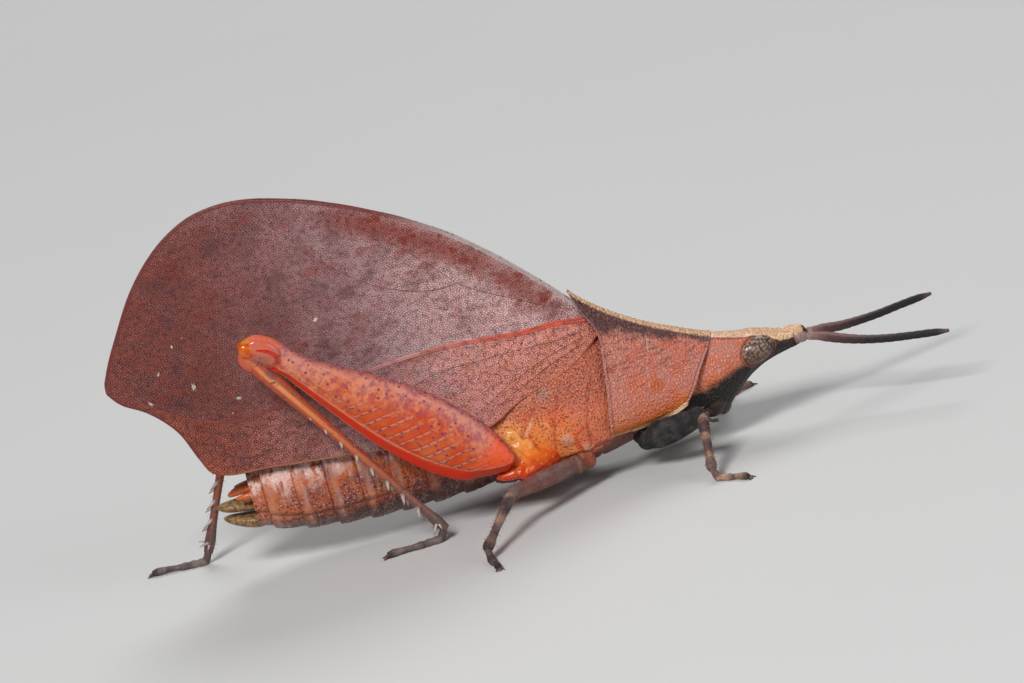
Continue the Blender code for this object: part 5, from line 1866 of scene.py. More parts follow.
@dataclass
class Abdomen:
    """The ringed hind body, and the plate, valves and cerci at its end."""

    form: BodyForm = BodyForm((
        (-19.7, 3.0, 5.2, 7.4, 1.95, 2.0, 2.0), (-19.3, 2.85, 5.2, 7.7, 2.2, 2.0, 2.0),
        (-18.0, 2.4, 5.1, 8.3, 2.6, 2.0, 2.0), (-15.5, 1.9, 5.0, 8.8, 3.0, 2.0, 2.0),
        (-12.0, 1.5, 4.9, 9.1, 3.1, 2.0, 2.0), (-8.0, 1.38, 4.8, 9.3, 3.1, 2.0, 2.0),
        (-3.0, 1.5, 4.7, 9.2, 3.0, 2.0, 2.0),
    ))
    waist: float = -3.35
    end: float = -20.0
    first_seam: float = -3.7
    ring_length: float = 2.2
    fold: tuple = ((-20.0, 4.5), (-19.68, 4.41), (-17.07, 3.61), (-14.57, 3.41), (-10.83, 3.5), (-3.0, 3.3))
    epiproct: tuple = (
        (-19.6, 5.98, 0.5, 0.34, 1.05), (-20.0, 5.98, 0.45, 0.3, 0.95), (-20.8, 5.88, 0.34, 0.26, 0.7),
        (-21.3, 5.76, 0.24, 0.18, 0.44), (-21.6, 5.7, 0.1, 0.08, 0.16),
    )
    upper_valve: tuple = (
        (-19.6, 4.85, 0.5, 0.5, 1.15), (-20.0, 4.85, 0.5, 0.5, 1.1), (-20.8, 4.88, 0.5, 0.46, 0.95),
        (-21.5, 4.94, 0.44, 0.42, 0.76), (-21.9, 4.98, 0.38, 0.36, 0.6), (-22.3, 5.05, 0.28, 0.25, 0.4),
        (-22.6, 5.12, 0.08, 0.08, 0.12),
    )
    lower_valve: tuple = (
        (-19.6, 3.75, 0.42, 0.74, 1.3), (-20.0, 3.75, 0.42, 0.74, 1.25), (-20.8, 3.85, 0.4, 0.62, 1.05),
        (-21.6, 4.05, 0.32, 0.42, 0.7), (-22.0, 4.17, 0.24, 0.28, 0.46), (-22.3, 4.27, 0.08, 0.08, 0.14),
    )
    cercus: tuple = (
        (-19.7, 1.55, 5.75, 0.3), (-20.1, 1.56, 5.76, 0.29), (-20.6, 1.57, 5.77, 0.22),
        (-21.1, 1.5, 5.8, 0.06),
    )
    grid: tuple = (230, 120)

    def trunk(self) -> Piece:
        """The rings, each slipped under the one before it.

        Returns:
            The rings, with "rings" noted for their finish.
        """
        def spread(along: Points, around: Points) -> Points:
            """Places on the abdomen, by shares from its waist to its end and round it."""
            return self.form.around(self.waist + (self.end - self.waist) * along, around)

        piece = wrapped_sheet("abdomen_trunk", *self.grid, spread)
        close_up(piece)
        points = corners_of(piece)
        x, y, z = points.T
        phase = np.mod((self.first_seam - x) / self.ring_length, 1.0)
        fold = nearest(points[:, [0, 2]], self.fold)
        heights = -0.12 + 0.17 * rise(phase, 0.0, 0.75) - 0.05 * rise(phase, 0.93, 1.0)
        heights -= 0.1 * hump(fold, 0.16) - 0.05 * hump(fold - 0.35, 0.2)
        heights -= 0.05 * hump(phase - 0.6, 0.03)
        heights += 0.05 * hump(y, 0.12) * rise(z, 7.0, 8.0)
        lift(piece, heights)
        note(piece, "rings", phase, fold)
        return piece

    def lobe(self, name: str, sections: tuple) -> Piece:
        """A flattened lobe at the end of the abdomen.

        Args:
            name: The lobe's name.
            sections: Its x, z, depth above and below, and half width, row by row.

        Returns:
            The lobe.
        """
        rows = np.array(sections)
        path = np.column_stack([rows[:, 0], np.zeros(len(rows)), rows[:, 1]])
        piece = tube(name, limb_rings(path, rows[:, 2], rows[:, 3], rows[:, 4], (0, 0, 1), 20))
        rounder(piece, 2)
        return piece

    def build(self) -> None:
        """Makes and places the abdomen's pieces."""
        place_on_body(self.trunk(), AbdomenFinish().build(), "abdomen", "abdomen")
        amber = PlainFinish(
            "epiproct_horn", Hue(0.62, 0.12, 0.02), Hue(0.40, 0.08, 0.03), 2.0, 0.25, 0.02,
        ).build()
        olive = PlainFinish(
            "valve_horn", Hue(0.36, 0.20, 0.06), Hue(0.09, 0.04, 0.025), 4.4, 0.3, 0.03,
        ).build()
        place_on_body(self.lobe("epiproct_plate", self.epiproct), amber, "valves", "epiproct")
        place_on_body(self.lobe("valve_upper", self.upper_valve), olive, "valves", "ovipositor_upper")
        place_on_body(self.lobe("valve_lower", self.lower_valve), olive, "valves", "ovipositor_lower")
        rows = np.array(self.cercus)
        left = rod("cercus_horn_left", rows[:, :3], rows[:, 3], 12)
        rounder(left, 2)
        place_pair(left, amber, "valves", "cercus")


@dataclass(frozen=True)
class ThighFinish:
    """The jumping thigh: waxy orange-red with a pale herringbone, a mauve upper part and a red keel."""

    pitch: float = 1.0
    slant: float = 0.82

    def build(self) -> bpy.types.Material:
        """The thigh's material.

        Returns:
            The material.
        """
        paint = Paint("thigh_wax")
        along, above, _ = paint.split(paint.noted("limb"))
        low, up, knee = paint.split(paint.noted("keels"))
        # The waxy red ground, duller towards the upper edge.
        haze = paint.clouds(paint.place, 0.55, 3.0, 0.6)
        grain = paint.clouds(paint.place, 5.0, 3.0, 0.6)
        paint.colour = paint.mix(haze.soft(0.35, 0.66), Hue(0.56, 0.05, 0.005), Hue(0.58, 0.11, 0.03))
        dull = up - haze * 1.4 + along * 0.02
        paint.over(dull.soft(1.2, -0.4, 0.9), Hue(0.6, 0.205, 0.155))
        amber = knee.soft(4.0, 6.0) * knee.soft(12.0, 7.0) * grain.soft(0.4, 0.6, 0.4)
        paint.over(amber, Hue(0.6, 0.24, 0.08))
        # The herringbone: pale strokes, each with painted shade along one side and a row of dots.
        stroke = along + above * self.slant + haze * 0.5
        phase = (stroke / self.pitch).wrapped()
        ribbed = low.soft(0.5, 0.8) * up.soft(1.3, 2.3) * knee.soft(3.0, 6.0)
        lines = phase.band(0.5, 0.17) * ribbed
        # Painted shade: a darker red strip beside each raised stroke.
        paint.over(phase.band(0.66, 0.2) * ribbed * 0.4, Hue(0.4, 0.03, 0.006))
        paint.over(lines * 0.55, Hue(0.8, 0.34, 0.22))
        row = ((above + grain * 0.6) / 0.47).wrapped()
        dark_dots = lines * row.band(0.5, 0.24)
        paint.over(dark_dots, Hue(0.07, 0.022, 0.07))
        # The mauve, netted upper part with dark freckles.
        mesh = paint.net(paint.turned(paint.place, (0, 48, 0), (1.1, 1, 1.7)), 2.8, 0.9)
        patches = paint.clouds(paint.place, 2.2, 4.0, 0.7)
        upper = up.soft(2.8, 1.2)
        paint.over(patches.soft(0.5, 0.6, 0.6) * upper, Hue(0.7, 0.245, 0.14))
        paint.over(patches.soft(0.5, 0.38, 0.75) * upper, Hue(0.28, 0.08, 0.12))
        reticule = mesh.soft(0.2, 0.03) * up.soft(2.3, 1.1) * haze.soft(0.4, 0.6, 0.3)
        paint.over(reticule, Hue(0.66, 0.3, 0.2))
        freckles = paint.dots(paint.place, 1.9).soft(0.24, 0.12)
        paint.over(freckles * 0.8, Hue(0.09, 0.03, 0.08))
        # The bright root with its beads, and the upper rim.
        hip = (along + haze * 1.6).soft(5.0, 3.4, 0.85)
        paint.over(hip, Hue(0.9, 0.1, 0.02))
        beads = paint.dots(paint.place, 3.4).soft(0.36, 0.2)
        paint.over(beads * hip * 0.75, Hue(0.16, 0.02, 0.05))
        rim = (up + grain * 0.3).soft(0.46, 0.2)
        paint.over(rim * (0.5 + beads * 0.5), Hue(0.22, 0.035, 0.07))
        # The scarlet lower keel and its pale border.
        keel = (low + along * 0.03).soft(0.88, 0.74)
        scarlet = paint.mix(haze.soft(0.4, 0.6), Hue(0.6, 0.02, 0.0), Hue(0.5, 0.03, 0.002))
        paint.over(keel * knee.soft(0.6, 2.0), scarlet)
        pale = (low + along * 0.03).band(0.9, 0.08) * knee.soft(2.2, 3.4)
        pale = pale * 0.55 + low.soft(0.12, 0.04, 0.6) * knee.soft(14.0, 9.0)
        paint.over(pale, Hue(0.66, 0.27, 0.2))
        # The knee.
        bulb = paint.mix(grain.soft(0.42, 0.6), Hue(0.72, 0.1, 0.03), Hue(0.62, 0.17, 0.12))
        murk = above.soft(0.5, 0.0) * above.soft(-1.2, -0.6) * knee.soft(0.6, 1.2)
        bulb = paint.mix(murk * 0.7, bulb, Hue(0.26, 0.1, 0.085))
        spots = paint.dots(paint.place, 2.8).soft(0.26, 0.12)
        bulb = paint.mix(spots * above.soft(0.6, 0.1, 0.9), bulb, Hue(0.05, 0.015, 0.02))
        bulb = paint.mix(knee.soft(0.5, 0.1), bulb, Hue(0.66, 0.22, 0.01))
        paint.over(knee.soft(2.8, 1.8), bulb)
        height = grain * 0.02 + lines * 0.03 + reticule * 0.03 + haze * 0.05
        return paint.coat(
            grain * 0.16 + 0.24, height, Specular_IOR_Level=0.25, Subsurface_Weight=0.05,
            Subsurface_Scale=0.0003, Coat_Weight=0.1, Coat_Roughness=0.18,
        )


@dataclass(frozen=True)
class ShinFinish:
    """The hind shin: orange-yellow with purple blotches near the knee, brown-grey at its end."""

    def build(self) -> bpy.types.Material:
        """The shin's material.

        Returns:
            The material.
        """
        paint = Paint("shin_wax")
        share, above, _ = paint.split(paint.noted("limb"))
        haze = paint.clouds(paint.place, 0.9, 3.0, 0.6)
        grain = paint.clouds(paint.place, 6.0, 3.0, 0.6)
        stops = (
            (0.0, Hue(0.56, 0.1, 0.03)), (0.1, Hue(0.74, 0.27, 0.08)), (0.38, Hue(0.64, 0.17, 0.04)),
            (0.62, Hue(0.38, 0.1, 0.035)), (0.94, Hue(0.12, 0.07, 0.06)),
        )
        paint.colour = paint.ramp(share, stops)
        # Painted shade: red strips along both rounded sides of the upper shin, one darker than the other.
        edge_shade_span = share.soft(1.0, 0.5)
        paint.over(above.soft(0.06, 0.24, 0.9) * edge_shade_span, Hue(0.46, 0.035, 0.004))
        paint.over(above.soft(-0.06, -0.22, 0.85) * edge_shade_span, Hue(0.3, 0.025, 0.008))
        patches = paint.dots(paint.turned(paint.place, (0, 45, 0), (0.6, 1, 1.4)), 1.9)
        blots = patches.soft(0.36, 0.16) * haze.soft(0.42, 0.56)
        root = (share + haze * 0.1).band(0.14, 0.05) * above.soft(0.1, -0.1)
        paint.over(blots * 0.75 + root * 0.6, Hue(0.1, 0.03, 0.045))
        paint.over(grain.soft(0.56, 0.72, 0.25), Hue(0.66, 0.36, 0.22))
        height = grain * 0.03 - blots * 0.02
        return paint.coat(
            grain * 0.16 + 0.24, height, Specular_IOR_Level=0.45, Coat_Weight=0.12, Coat_Roughness=0.2,
        )


@dataclass(frozen=True)
class SpineFinish:
    """Spines and claws: their own colour at the root, pale in the middle and dark at the tip."""

    name: str
    root: Hue
    shaft: Hue
    tip: Hue

    def build(self) -> bpy.types.Material:
        """The spines' material.

        Returns:
            The material.
        """
        paint = Paint(self.name)
        share, _, _ = paint.split(paint.noted("share"))
        grain = paint.clouds(paint.place, 9.0, 2.0, 0.5)
        shifted = share + grain * 0.16 - 0.08
        stops = ((0.05, self.root), (0.3, self.shaft), (0.72, self.shaft), (0.92, self.tip))
        paint.colour = paint.ramp(shifted, stops)
        return paint.coat(0.3, grain * 0.02, Specular_IOR_Level=0.5)


@dataclass(frozen=True)
class HipFinish:
    """Waxy skin round the hind thigh's root, pale yellow above and red below."""

    def build(self) -> bpy.types.Material:
        """The hip's material.

        Returns:
            The material.
        """
        paint = Paint("hip_wax")
        _, _, z = paint.split(paint.place)
        haze = paint.clouds(paint.place, 1.4, 3.0, 0.6)
        height = (z + haze * 1.2).soft(3.2, 6.2)
        stops = (
            (0.0, Hue(0.6, 0.03, 0.002)), (0.3, Hue(0.7, 0.11, 0.012)), (0.6, Hue(0.78, 0.22, 0.03)),
            (0.95, Hue(0.8, 0.34, 0.08)),
        )
        paint.colour = paint.ramp(height, stops)
        waves = paint.clouds(paint.turned(paint.place, (0, 35, 0), (0.7, 1, 2.6)), 1.8, 3.0, 0.6)
        paint.over(waves.soft(0.54, 0.68, 0.4), Hue(0.84, 0.42, 0.16))
        paint.over(haze.soft(0.44, 0.34, 0.6), Hue(0.4, 0.05, 0.01))
        return paint.coat(
            0.2, waves * 0.1 + haze * 0.12, Specular_IOR_Level=0.4, Coat_Weight=0.15, Coat_Roughness=0.15,
        )


@dataclass(frozen=True)
class LegFinish:
    """A small leg's rough skin with bands across it."""

    name: str
    hue: Hue
    mottle: Hue
    band_hue: Hue
    end_hue: Hue
    bands: float = 0.0
    roughness: float = 0.5

    def build(self) -> bpy.types.Material:
        """The leg piece's material.

        Returns:
            The material.
        """
        paint = Paint(self.name)
        share, _, _ = paint.split(paint.noted("limb"))
        haze = paint.clouds(paint.place, 1.3, 3.0, 0.6)
        grain = paint.clouds(paint.place, 7.0, 3.0, 0.62)
        paint.colour = paint.mix(haze.soft(0.36, 0.66), self.hue, self.mottle)
        wave = (share * self.bands + haze * 0.7).wrapped()
        banding = wave.band(0.5, 0.28) * min(1.0, self.bands) * 0.6
        paint.over(banding, self.band_hue)
        paint.over((share + haze * 0.3).soft(0.95, 1.15, 0.85), self.end_hue)
        paint.over(grain.soft(0.56, 0.74, 0.35), self.mottle)
        warts = paint.dots(paint.place, 5.5).soft(0.4, 0.1)
        height = warts * 0.05 + grain * 0.08
        return paint.coat(grain * 0.2 + self.roughness, height, Specular_IOR_Level=0.3)


def unit(vector: Row) -> Points:
    """The way of a vector, one long."""
    values = np.array(vector, float)
    return values / np.linalg.norm(values)


def straight_limb(
    name: str, start: Row, end: Row, thick: float, profile: Sequence[Row], flatness: float, ridges: int
) -> Piece:
    """A straight length of leg.

    Args:
        name: The piece's name.
        start: Where it starts.
        end: Where it ends.
        thick: Its half thickness where the profile says 1.
        profile: Shares of its length with shares of its thickness.
        flatness: Its thickness across as a share of its depth.
        ridges: How many fine ridges run along it.

    Returns:
        The piece, with each point's share of the length as its "limb" note.
    """
    start, end = np.array(start, float), np.array(end, float)
    shares = np.linspace(profile[0][0], profile[-1][0], 34)
    radii = thick * eased(profile, shares)[:, 0]
    path = start + (end - start) * shares[:, None]
    piece = tube(name, limb_rings(path, radii, radii, radii * flatness, (0, 0, 1), 24, 2.1))
    rounder(piece)
    points = corners_of(piece)
    way = unit(end - start)
    along = (points - start) @ way
    off = points - start - along[:, None] * way
    across = unit(np.cross(way, (0, 0, 1)))
    angle = np.arctan2(off @ np.cross(across, way), off @ across)
    share = along / np.linalg.norm(end - start)
    body = rise(share, 0.06, 0.16) * rise(1 - share, 0.04, 0.12)
    lift(piece, 0.05 * thick * np.cos(ridges * angle) * body)
    note(piece, "limb", share)
    return piece


@dataclass
class Foot:
    """A foot of three joints with its pads and two claws, flat on the floor."""

    kind: Leg
    side: Side
    ankle: Row
    toe: Row
    size: float
    profile: tuple = (
        (0.0, 3.2, 0.8), (0.1, 0.9, 1.0), (0.18, 0.6, 1.15), (0.24, 0.62, 0.95), (0.3, 0.6, 1.15),
        (0.37, 0.62, 0.9), (0.45, 0.6, 1.1), (0.53, 0.75, 0.78), (0.76, 0.95, 0.76), (0.92, 0.85, 0.95),
        (1.0, 0.7, 0.7),
    )
    pad_shares: tuple = (0.17, 0.31, 0.46)
    pad_radii: Row = (0.42, 0.62, 0.42)
    lobe_radii: Row = (0.62, 0.5, 0.33)

    def ways(self) -> tuple[Points, Points, Matrix]:
        """The ways along and across the foot, and the turn that lays a shape along it.

        Returns:
            The two ways, and the turn.
        """
        level = unit((self.toe[0] - self.ankle[0], self.toe[1] - self.ankle[1], 0))
        across = np.array([-level[1], level[0], 0])
        return level, across, Matrix.Rotation(math.atan2(level[1], level[0]), 3, "Z")

    def joints(self) -> Piece:
        """The foot's joints with the pads under them.

        Returns:
            The piece.
        """
        ankle, toe = np.array(self.ankle, float), np.array(self.toe, float)
        shares = np.linspace(0, 1, 44)
        height, thick = eased(self.profile, shares).T * self.size
        path = ankle + (toe - ankle) * shares[:, None]
        path[:, 2] = height
        pieces = [rod("foot", path, thick, 20)]
        level, across, spin = self.ways()
        for share in self.pad_shares:
            for row in (-1, 1):
                at = ankle + (toe - ankle) * share + across * row * 0.4 * self.size
                radii = np.array(self.pad_radii) * self.size
                pieces.append(ball("pad", (at[0], at[1], 0.36 * self.size), radii, spin, 14))
        piece = joined(f"foot_{self.kind.value}_{self.side.label}", pieces)
        points = corners_of(piece)
        points[:, 2] = np.maximum(points[:, 2], 0.0)
        lay(piece, points)
        share = (points - ankle) @ level / np.linalg.norm((toe - ankle)[:2])
        note(piece, "limb", share)
        return piece

    def claws(self) -> Piece:
        """Two curved claws with the soft lobe between them.

        Returns:
            The piece.
        """
        toe = np.array(self.toe, float)
        level, across, spin = self.ways()
        bend = np.linspace(0, 1, 9)
        path = np.column_stack([0.34 * np.sin(1.4 * bend) * bend, np.zeros(9), bend])
        hook = rod("claw", path, 1.0 - 0.86 * bend**1.3, 8, (0, 1, 0))
        placings = []
        for row in (-1, 1):
            root = toe - level * self.size * 0.5
            root[2] = 0.95 * self.size
            tip = root + (level * 1.75 + across * row * 1.2) * self.size
            tip[2] = 0.14 * self.size
            forward = Vector(tip - root)
            side = forward.cross(Vector((0, 0, 1))).normalized()
            upward = side.cross(forward).normalized()
            axes = (upward * 0.38 * self.size, side * 0.26 * self.size, forward)
            placings.append(Matrix.Translation(Vector(root)) @ Matrix(axes).transposed().to_4x4())
        claws = scattered(f"claws_{self.kind.value}_{self.side.label}", hook, placings)
        close_up(claws, 1e-6)
        centre = (*(toe + level * 0.55 * self.size)[:2], 0.34 * self.size)
        lobe = ball("lobe", centre, np.array(self.lobe_radii) * self.size, spin, 16)
        note(lobe, "share", np.full(len(lobe.data.vertices), 0.02))
        return joined(claws.name, [claws, lobe])

    def place(self, skin: bpy.types.Material, horn: bpy.types.Material) -> None:
        """Makes and places the foot.

        Args:
            skin: The joints' material.
            horn: The claws' material.
        """
        node = f"tarsus_{self.kind.value}_{self.side.label}"
        place_on_body(self.joints(), skin, self.kind.slot, node)
        place_on_body(self.claws(), horn, self.kind.slot)


@dataclass
class HindLeg:
    """A jumping leg: hip, deep thigh with a herringbone, spined shin and foot."""

    side: Side
    base: Row
    knee: Row
    ankle: Row
    toe: Row
    sections: tuple = (
        (1.1, 0.05, 0.1, 0.1), (1.2, 0.4, 0.5, 0.35), (1.55, 0.75, 0.95, 0.6), (2.1, 1.0, 1.4, 0.75),
        (2.8, 1.25, 1.85, 0.87), (3.6, 1.45, 2.35, 0.93), (5.0, 1.75, 2.68, 0.98), (7.0, 1.98, 2.8, 1.0),
        (9.0, 2.0, 2.68, 0.98), (10.6, 1.9, 2.45, 0.94), (12.8, 1.6, 1.98, 0.85), (15.0, 1.22, 1.45, 0.74),
        (16.8, 0.95, 1.0, 0.66), (18.0, 1.0, 0.72, 0.64), (19.2, 1.25, 0.84, 0.72),
        (20.3, 1.22, 0.98, 0.74), (21.1, 0.85, 0.75, 0.6), (21.5, 0.3, 0.28, 0.25),
    )
    up: Row = (0.65, 0, 0.76)
    squareness: float = 1.75
    foot_size: float = 0.29
    coxa: tuple = (
        (0.1, 3.0, 2.95, 1.2), (-0.5, 4.1, 2.98, 1.0), (-1.4, 5.3, 3.05, 0.72), (-1.75, 5.45, 3.3, 0.42),
    )
    shin_start: Row = (-0.7, 0, -0.35)
    shin: tuple = (
        (-0.015, 0.3), (0.0, 0.44), (0.05, 0.56), (0.12, 0.54), (0.3, 0.42), (0.6, 0.31), (0.9, 0.29),
        (0.97, 0.36), (1.01, 0.3),
    )
    spine_count: int = 8
    spine_shares: Row = (0.33, 0.88)
    spine_lengths: Row = (0.5, 0.95)
    spine_lean: Row = (0.62, 0.8, 0.3)
    crescent: tuple = (
        (20.5, 0.22), (20.1, 0.38), (19.67, 0.48), (19.25, 0.45), (18.92, 0.3), (18.86, 0.02),
    )
    knee_lobes: tuple = (
        ("dome", (20.0, 0.42), (1.15, 0.6, 0.26), -6.0), ("amber", (21.0, -0.12), (0.62, 0.5, 0.34), 0.0),
        ("lower", (20.55, -0.85), (0.85, 0.6, 0.42), 25.0),
    )
    voxel: float = 0.09
    hip_lobes: tuple = (
        ((-1.8, 3.85, 5.0), (0.65, 0.3, 0.85)), ((-1.3, 3.9, 4.3), (0.9, 0.45, 0.75)),
        ((-1.0, 4.2, 3.4), (1.0, 0.65, 0.85)), ((-2.3, 5.0, 3.1), (1.35, 0.6, 0.45)),
        ((-2.0, 4.5, 3.9), (0.7, 0.5, 0.7)),
    )
    thigh_grid: tuple = (260, 120)
    shin_grid: tuple = (150, 36)

    def on_side(self, point: Row) -> Points:
        """A point given by its distance from the middle, put on this leg's side."""
        return np.array((point[0], point[1] * self.side.value, point[2]), float)

    def thigh_frame(self) -> tuple[Points, Points, Points, Points]:
        """The thigh's base, and its ways along, up and across it.

        Returns:
            The base and the three ways.
        """
        base, knee = self.on_side(self.base), self.on_side(self.knee)
        axis = unit(knee - base)
        across = unit(np.cross(axis, np.array(self.up)))
        return base, axis, np.cross(across, axis), across

    def thigh(self) -> Piece:
        """The thigh, with its keels and the ridges of its herringbone.

        Returns:
            The thigh, with "limb" and "keels" noted for its finish.
        """
        base, axis, top, across = self.thigh_frame()
        start, end = self.sections[0][0], self.sections[-1][0]

        def spread(along: Points, around: Points) -> Points:
            """Places on the thigh, by shares along and round it.

            Args:
                along: Shares from the hip to the knee.
                around: Shares of a turn.

            Returns:
                The places.
            """
            t = start + (end - start) * (0.6 * along + 0.2 * (1 - np.cos(math.pi * along)))
            up, down, half = eased(self.sections, t).T
            angle = 2 * math.pi * around
            c, s = power(np.cos(angle), 2 / self.squareness), power(np.sin(angle), 2 / self.squareness)
            above = np.where(s > 0, up, down) * s
            return base + axis * t[:, None] + top * above[:, None] + across * (half * c)[:, None]

        piece = wrapped_sheet(f"thigh_hind_{self.side.label}", *self.thigh_grid, spread)
        close_up(piece)
        local = corners_of(piece) - base
        t, above = local @ axis, local @ top
        up, down, half = eased(self.sections, t).T
        low, high, knee = above + down, up - above, end - t
        flank = rise(np.abs(local @ across) / half, 0.3, 0.6)
        heights = 0.1 * hump(low, 0.18) + 0.08 * hump(high, 0.18)
        heights *= rise(knee, 2.0, 4.0) * rise(t, 2.0, 4.0)
        heights -= 0.07 * flank * hump(low - 0.72, 0.16) * rise(knee, 2.5, 5.0) * rise(t, 2.5, 4.5)
        phase = np.mod((t + ThighFinish.slant * above) / ThighFinish.pitch, 1.0) - 0.5
        ridges = rise(low, 0.6, 1.0) * rise(high, 1.3, 2.2) * rise(knee, 3.0, 6.0)
        heights += 0.035 * flank * hump(phase, 0.12) * ridges
        heights -= 0.1 * flank * hump(knee - 2.75, 0.3)
        lift(piece, heights)
        note(piece, "limb", t, above)
        note(piece, "keels", low, high, knee)
        return piece

    def on_flank(self, along: Points, above: Points, row: int, proud: float = 0.0) -> Points:
        """Places on one face of the thigh, by their distances along and above its line.

        Args:
            along: Distances along the thigh.
            above: Distances above its line.
            row: 1 or -1 for either face.
            proud: How far outside the face they lie.

        Returns:
            The places.
        """
        base, axis, top, across = self.thigh_frame()
        up, down, half = eased(self.sections, along).T
        depth = np.clip(np.where(above > 0, above / up, -above / down), 0, 0.97)
        out = half * (1 - depth**self.squareness) ** (1 / self.squareness)
        return base + axis * along[:, None] + top * above[:, None] + across * (row * (out + proud))[:, None]

    def crescents(self) -> Piece:
        """The raised crescent on each face of the knee.

        Returns:
            The piece.
        """
        spots = smooth_line(self.crescent, 6)
        taper = 0.05 + 0.1 * np.sin(math.pi * np.linspace(0, 1, len(spots)))
        across = tuple(self.thigh_frame()[3])
        raised = [
            rod("crescent", self.on_flank(spots[:, 0], spots[:, 1], row, 0.09), taper, 10, across)
            for row in (-1, 1)
        ]
        return joined(f"knee_crescents_{self.side.label}", raised)

    def knee_pair(self, kind: str) -> Piece:
        """A pair of smooth lobes of the knee: its domes, amber ends or lower lobes.

        Args:
            kind: Which pair, by its name in knee_lobes.

        Returns:
            The piece.
        """
        _, (along, above), radii, tilt = next(lobe for lobe in self.knee_lobes if lobe[0] == kind)
        _, axis, top, across = self.thigh_frame()
        turn = Matrix((axis, top, across)).transposed() @ Matrix.Rotation(math.radians(tilt), 3, "Z")
        lobes = []
        for row in (-1, 1):
            centre = self.on_flank(np.array([along]), np.array([above]), row)[0]
            lobes.append(ball(kind, centre - across * row * radii[2] * 0.45, radii, turn, 28))
        return joined(f"knee_{kind}_{self.side.label}", lobes)

    def shin_frame(self) -> tuple[Points, Points, Points, Points]:
        """The shin's start, its whole run, and its ways backwards and down.

        Returns:
            The start, the run and the two ways.
        """
        start = self.on_side(self.knee) + np.array(self.shin_start)
        run = self.on_side(self.ankle) - start
        return start, run, unit((run[2], 0, -run[0])), unit(run)

    def shank(self) -> Piece:
        """The shin, ridged lengthwise.

        Returns:
            The shin, with "limb" noted for its finish.
        """
        start, run, back, down = self.shin_frame()
        across = np.cross(down, back)

        def spread(along: Points, around: Points) -> Points:
            """Places on the shin, by shares along and round it.

            Args:
                along: Shares from the knee to the ankle.
                around: Shares of a turn.

            Returns:
                The places.
            """
            share = self.shin[0][0] + (self.shin[-1][0] - self.shin[0][0]) * along
            radius = eased(self.shin, share)[:, 0]
            angle = 2 * math.pi * around
            ridge = 1 + 0.06 * np.cos(4 * angle) * rise(share, 0.05, 0.15)
            return (
                start + run * share[:, None] + back * (radius * ridge * np.cos(angle))[:, None]
                + across * (0.92 * radius * ridge * np.sin(angle))[:, None]
            )

        piece = wrapped_sheet(f"shin_hind_{self.side.label}", *self.shin_grid, spread)
        close_up(piece)
        local = corners_of(piece) - start
        share = local @ down / np.linalg.norm(run)
        note(piece, "limb", share, local @ back)
        return piece

    def spines(self) -> Piece:
        """Two rows of spines behind the shin, and four spurs at its end.

        Returns:
            The piece.
        """
        start, run, back, down = self.shin_frame()
        bend = np.linspace(0, 1, 8)
        path = np.column_stack([0.1 * bend**2, np.zeros(8), bend])
        thorn = rod("thorn", path, (1 - bend) ** 0.8 * 0.94 + 0.06, 10, (0, 1, 0))
        placings = []
        for row in (-1, 1):
            across = np.array((0.0, row, 0.0))
            way = back * self.spine_lean[0] + down * self.spine_lean[1] + across * self.spine_lean[2]
            shares = np.linspace(*self.spine_shares, self.spine_count) + 0.012 * row
            lengths = np.linspace(*self.spine_lengths, self.spine_count)
            for share, length in zip(shares, lengths):
                root = start + run * share + across * 0.11 + back * 0.08
                placings.append(placing(root, way, length, 0.18))
            for lean, length in (((0.75, 0.3, 0.6), 1.0), ((0.15, 0.75, 0.65), 0.75)):
                way = back * lean[0] + down * lean[1] + across * lean[2]
                placings.append(placing(start + run * 0.965 + across * 0.11, way, length, 0.13))
        piece = scattered(f"spines_hind_{self.side.label}", thorn, placings)
        close_up(piece, 1e-6)
        return piece

    def hip(self) -> Piece:
        """The rounded hip with the smooth lobes round the thigh's root.

        Returns:
            The piece.
        """
        rows = np.array(self.coxa)
        rows[:, 1] *= self.side.value
        lengths = np.linspace(0, 1, len(rows))
        fine = eased(np.column_stack([lengths, rows]), np.linspace(0, 1, 22))
        stem = rod("hip", fine[:, :3], fine[:, 3], 24)
        rounder(stem)
        lobes = [ball("lobe", self.on_side(centre), radii, None, 28) for centre, radii in self.hip_lobes]
        piece = joined(f"hip_hind_{self.side.label}", [stem, *lobes])
        finish_with(piece, "REMESH", mode="VOXEL", voxel_size=self.voxel)
        finish_with(piece, "SMOOTH", factor=0.6, iterations=20)
        return piece

    def build(self, finishes: dict[str, bpy.types.Material]) -> None:
        """Makes and places the leg's pieces.

        Args:
            finishes: The legs' materials by name.
        """
        label, slot = f"hind_{self.side.label}", Leg.HIND.slot
        thigh = self.thigh()
        edge = np.abs(normals_of(thigh) @ self.thigh_frame()[3]) < 0.35
        keep = edge & (corners_of(thigh)[:, 2] > 4)
        hairs = bristles(f"thigh_hairs_{self.side.label}", thigh, 150, 0.3, (-0.5, 0, 0.3), keep, 3)
        place_on_body(thigh, finishes["thigh"], slot, f"femur_{label}")
        place_on_body(hairs, finishes["hair"], slot)
        place_on_body(self.crescents(), finishes["red"], slot)
        for kind, *_ in self.knee_lobes:
            place_on_body(self.knee_pair(kind), finishes[f"knee_{kind}"], slot)
        shank = self.shank()
        keep = corners_of(shank)[:, 2] < 13
        fuzz = bristles(f"shin_hairs_{self.side.label}", shank, 130, 0.38, (0.2, 0, -0.7), keep, 5)
        place_on_body(shank, finishes["shin"], slot, f"tibia_{label}")
        place_on_body(fuzz, finishes["hair"], slot)
        place_on_body(self.spines(), finishes["spine"], slot)
        place_on_body(self.hip(), finishes["hip_wax"], slot, f"coxa_{label}")
        ankle, toe = tuple(self.on_side(self.ankle)), tuple(self.on_side(self.toe))
        Foot(Leg.HIND, self.side, ankle, toe, self.foot_size).place(finishes["foot"], finishes["claw"])


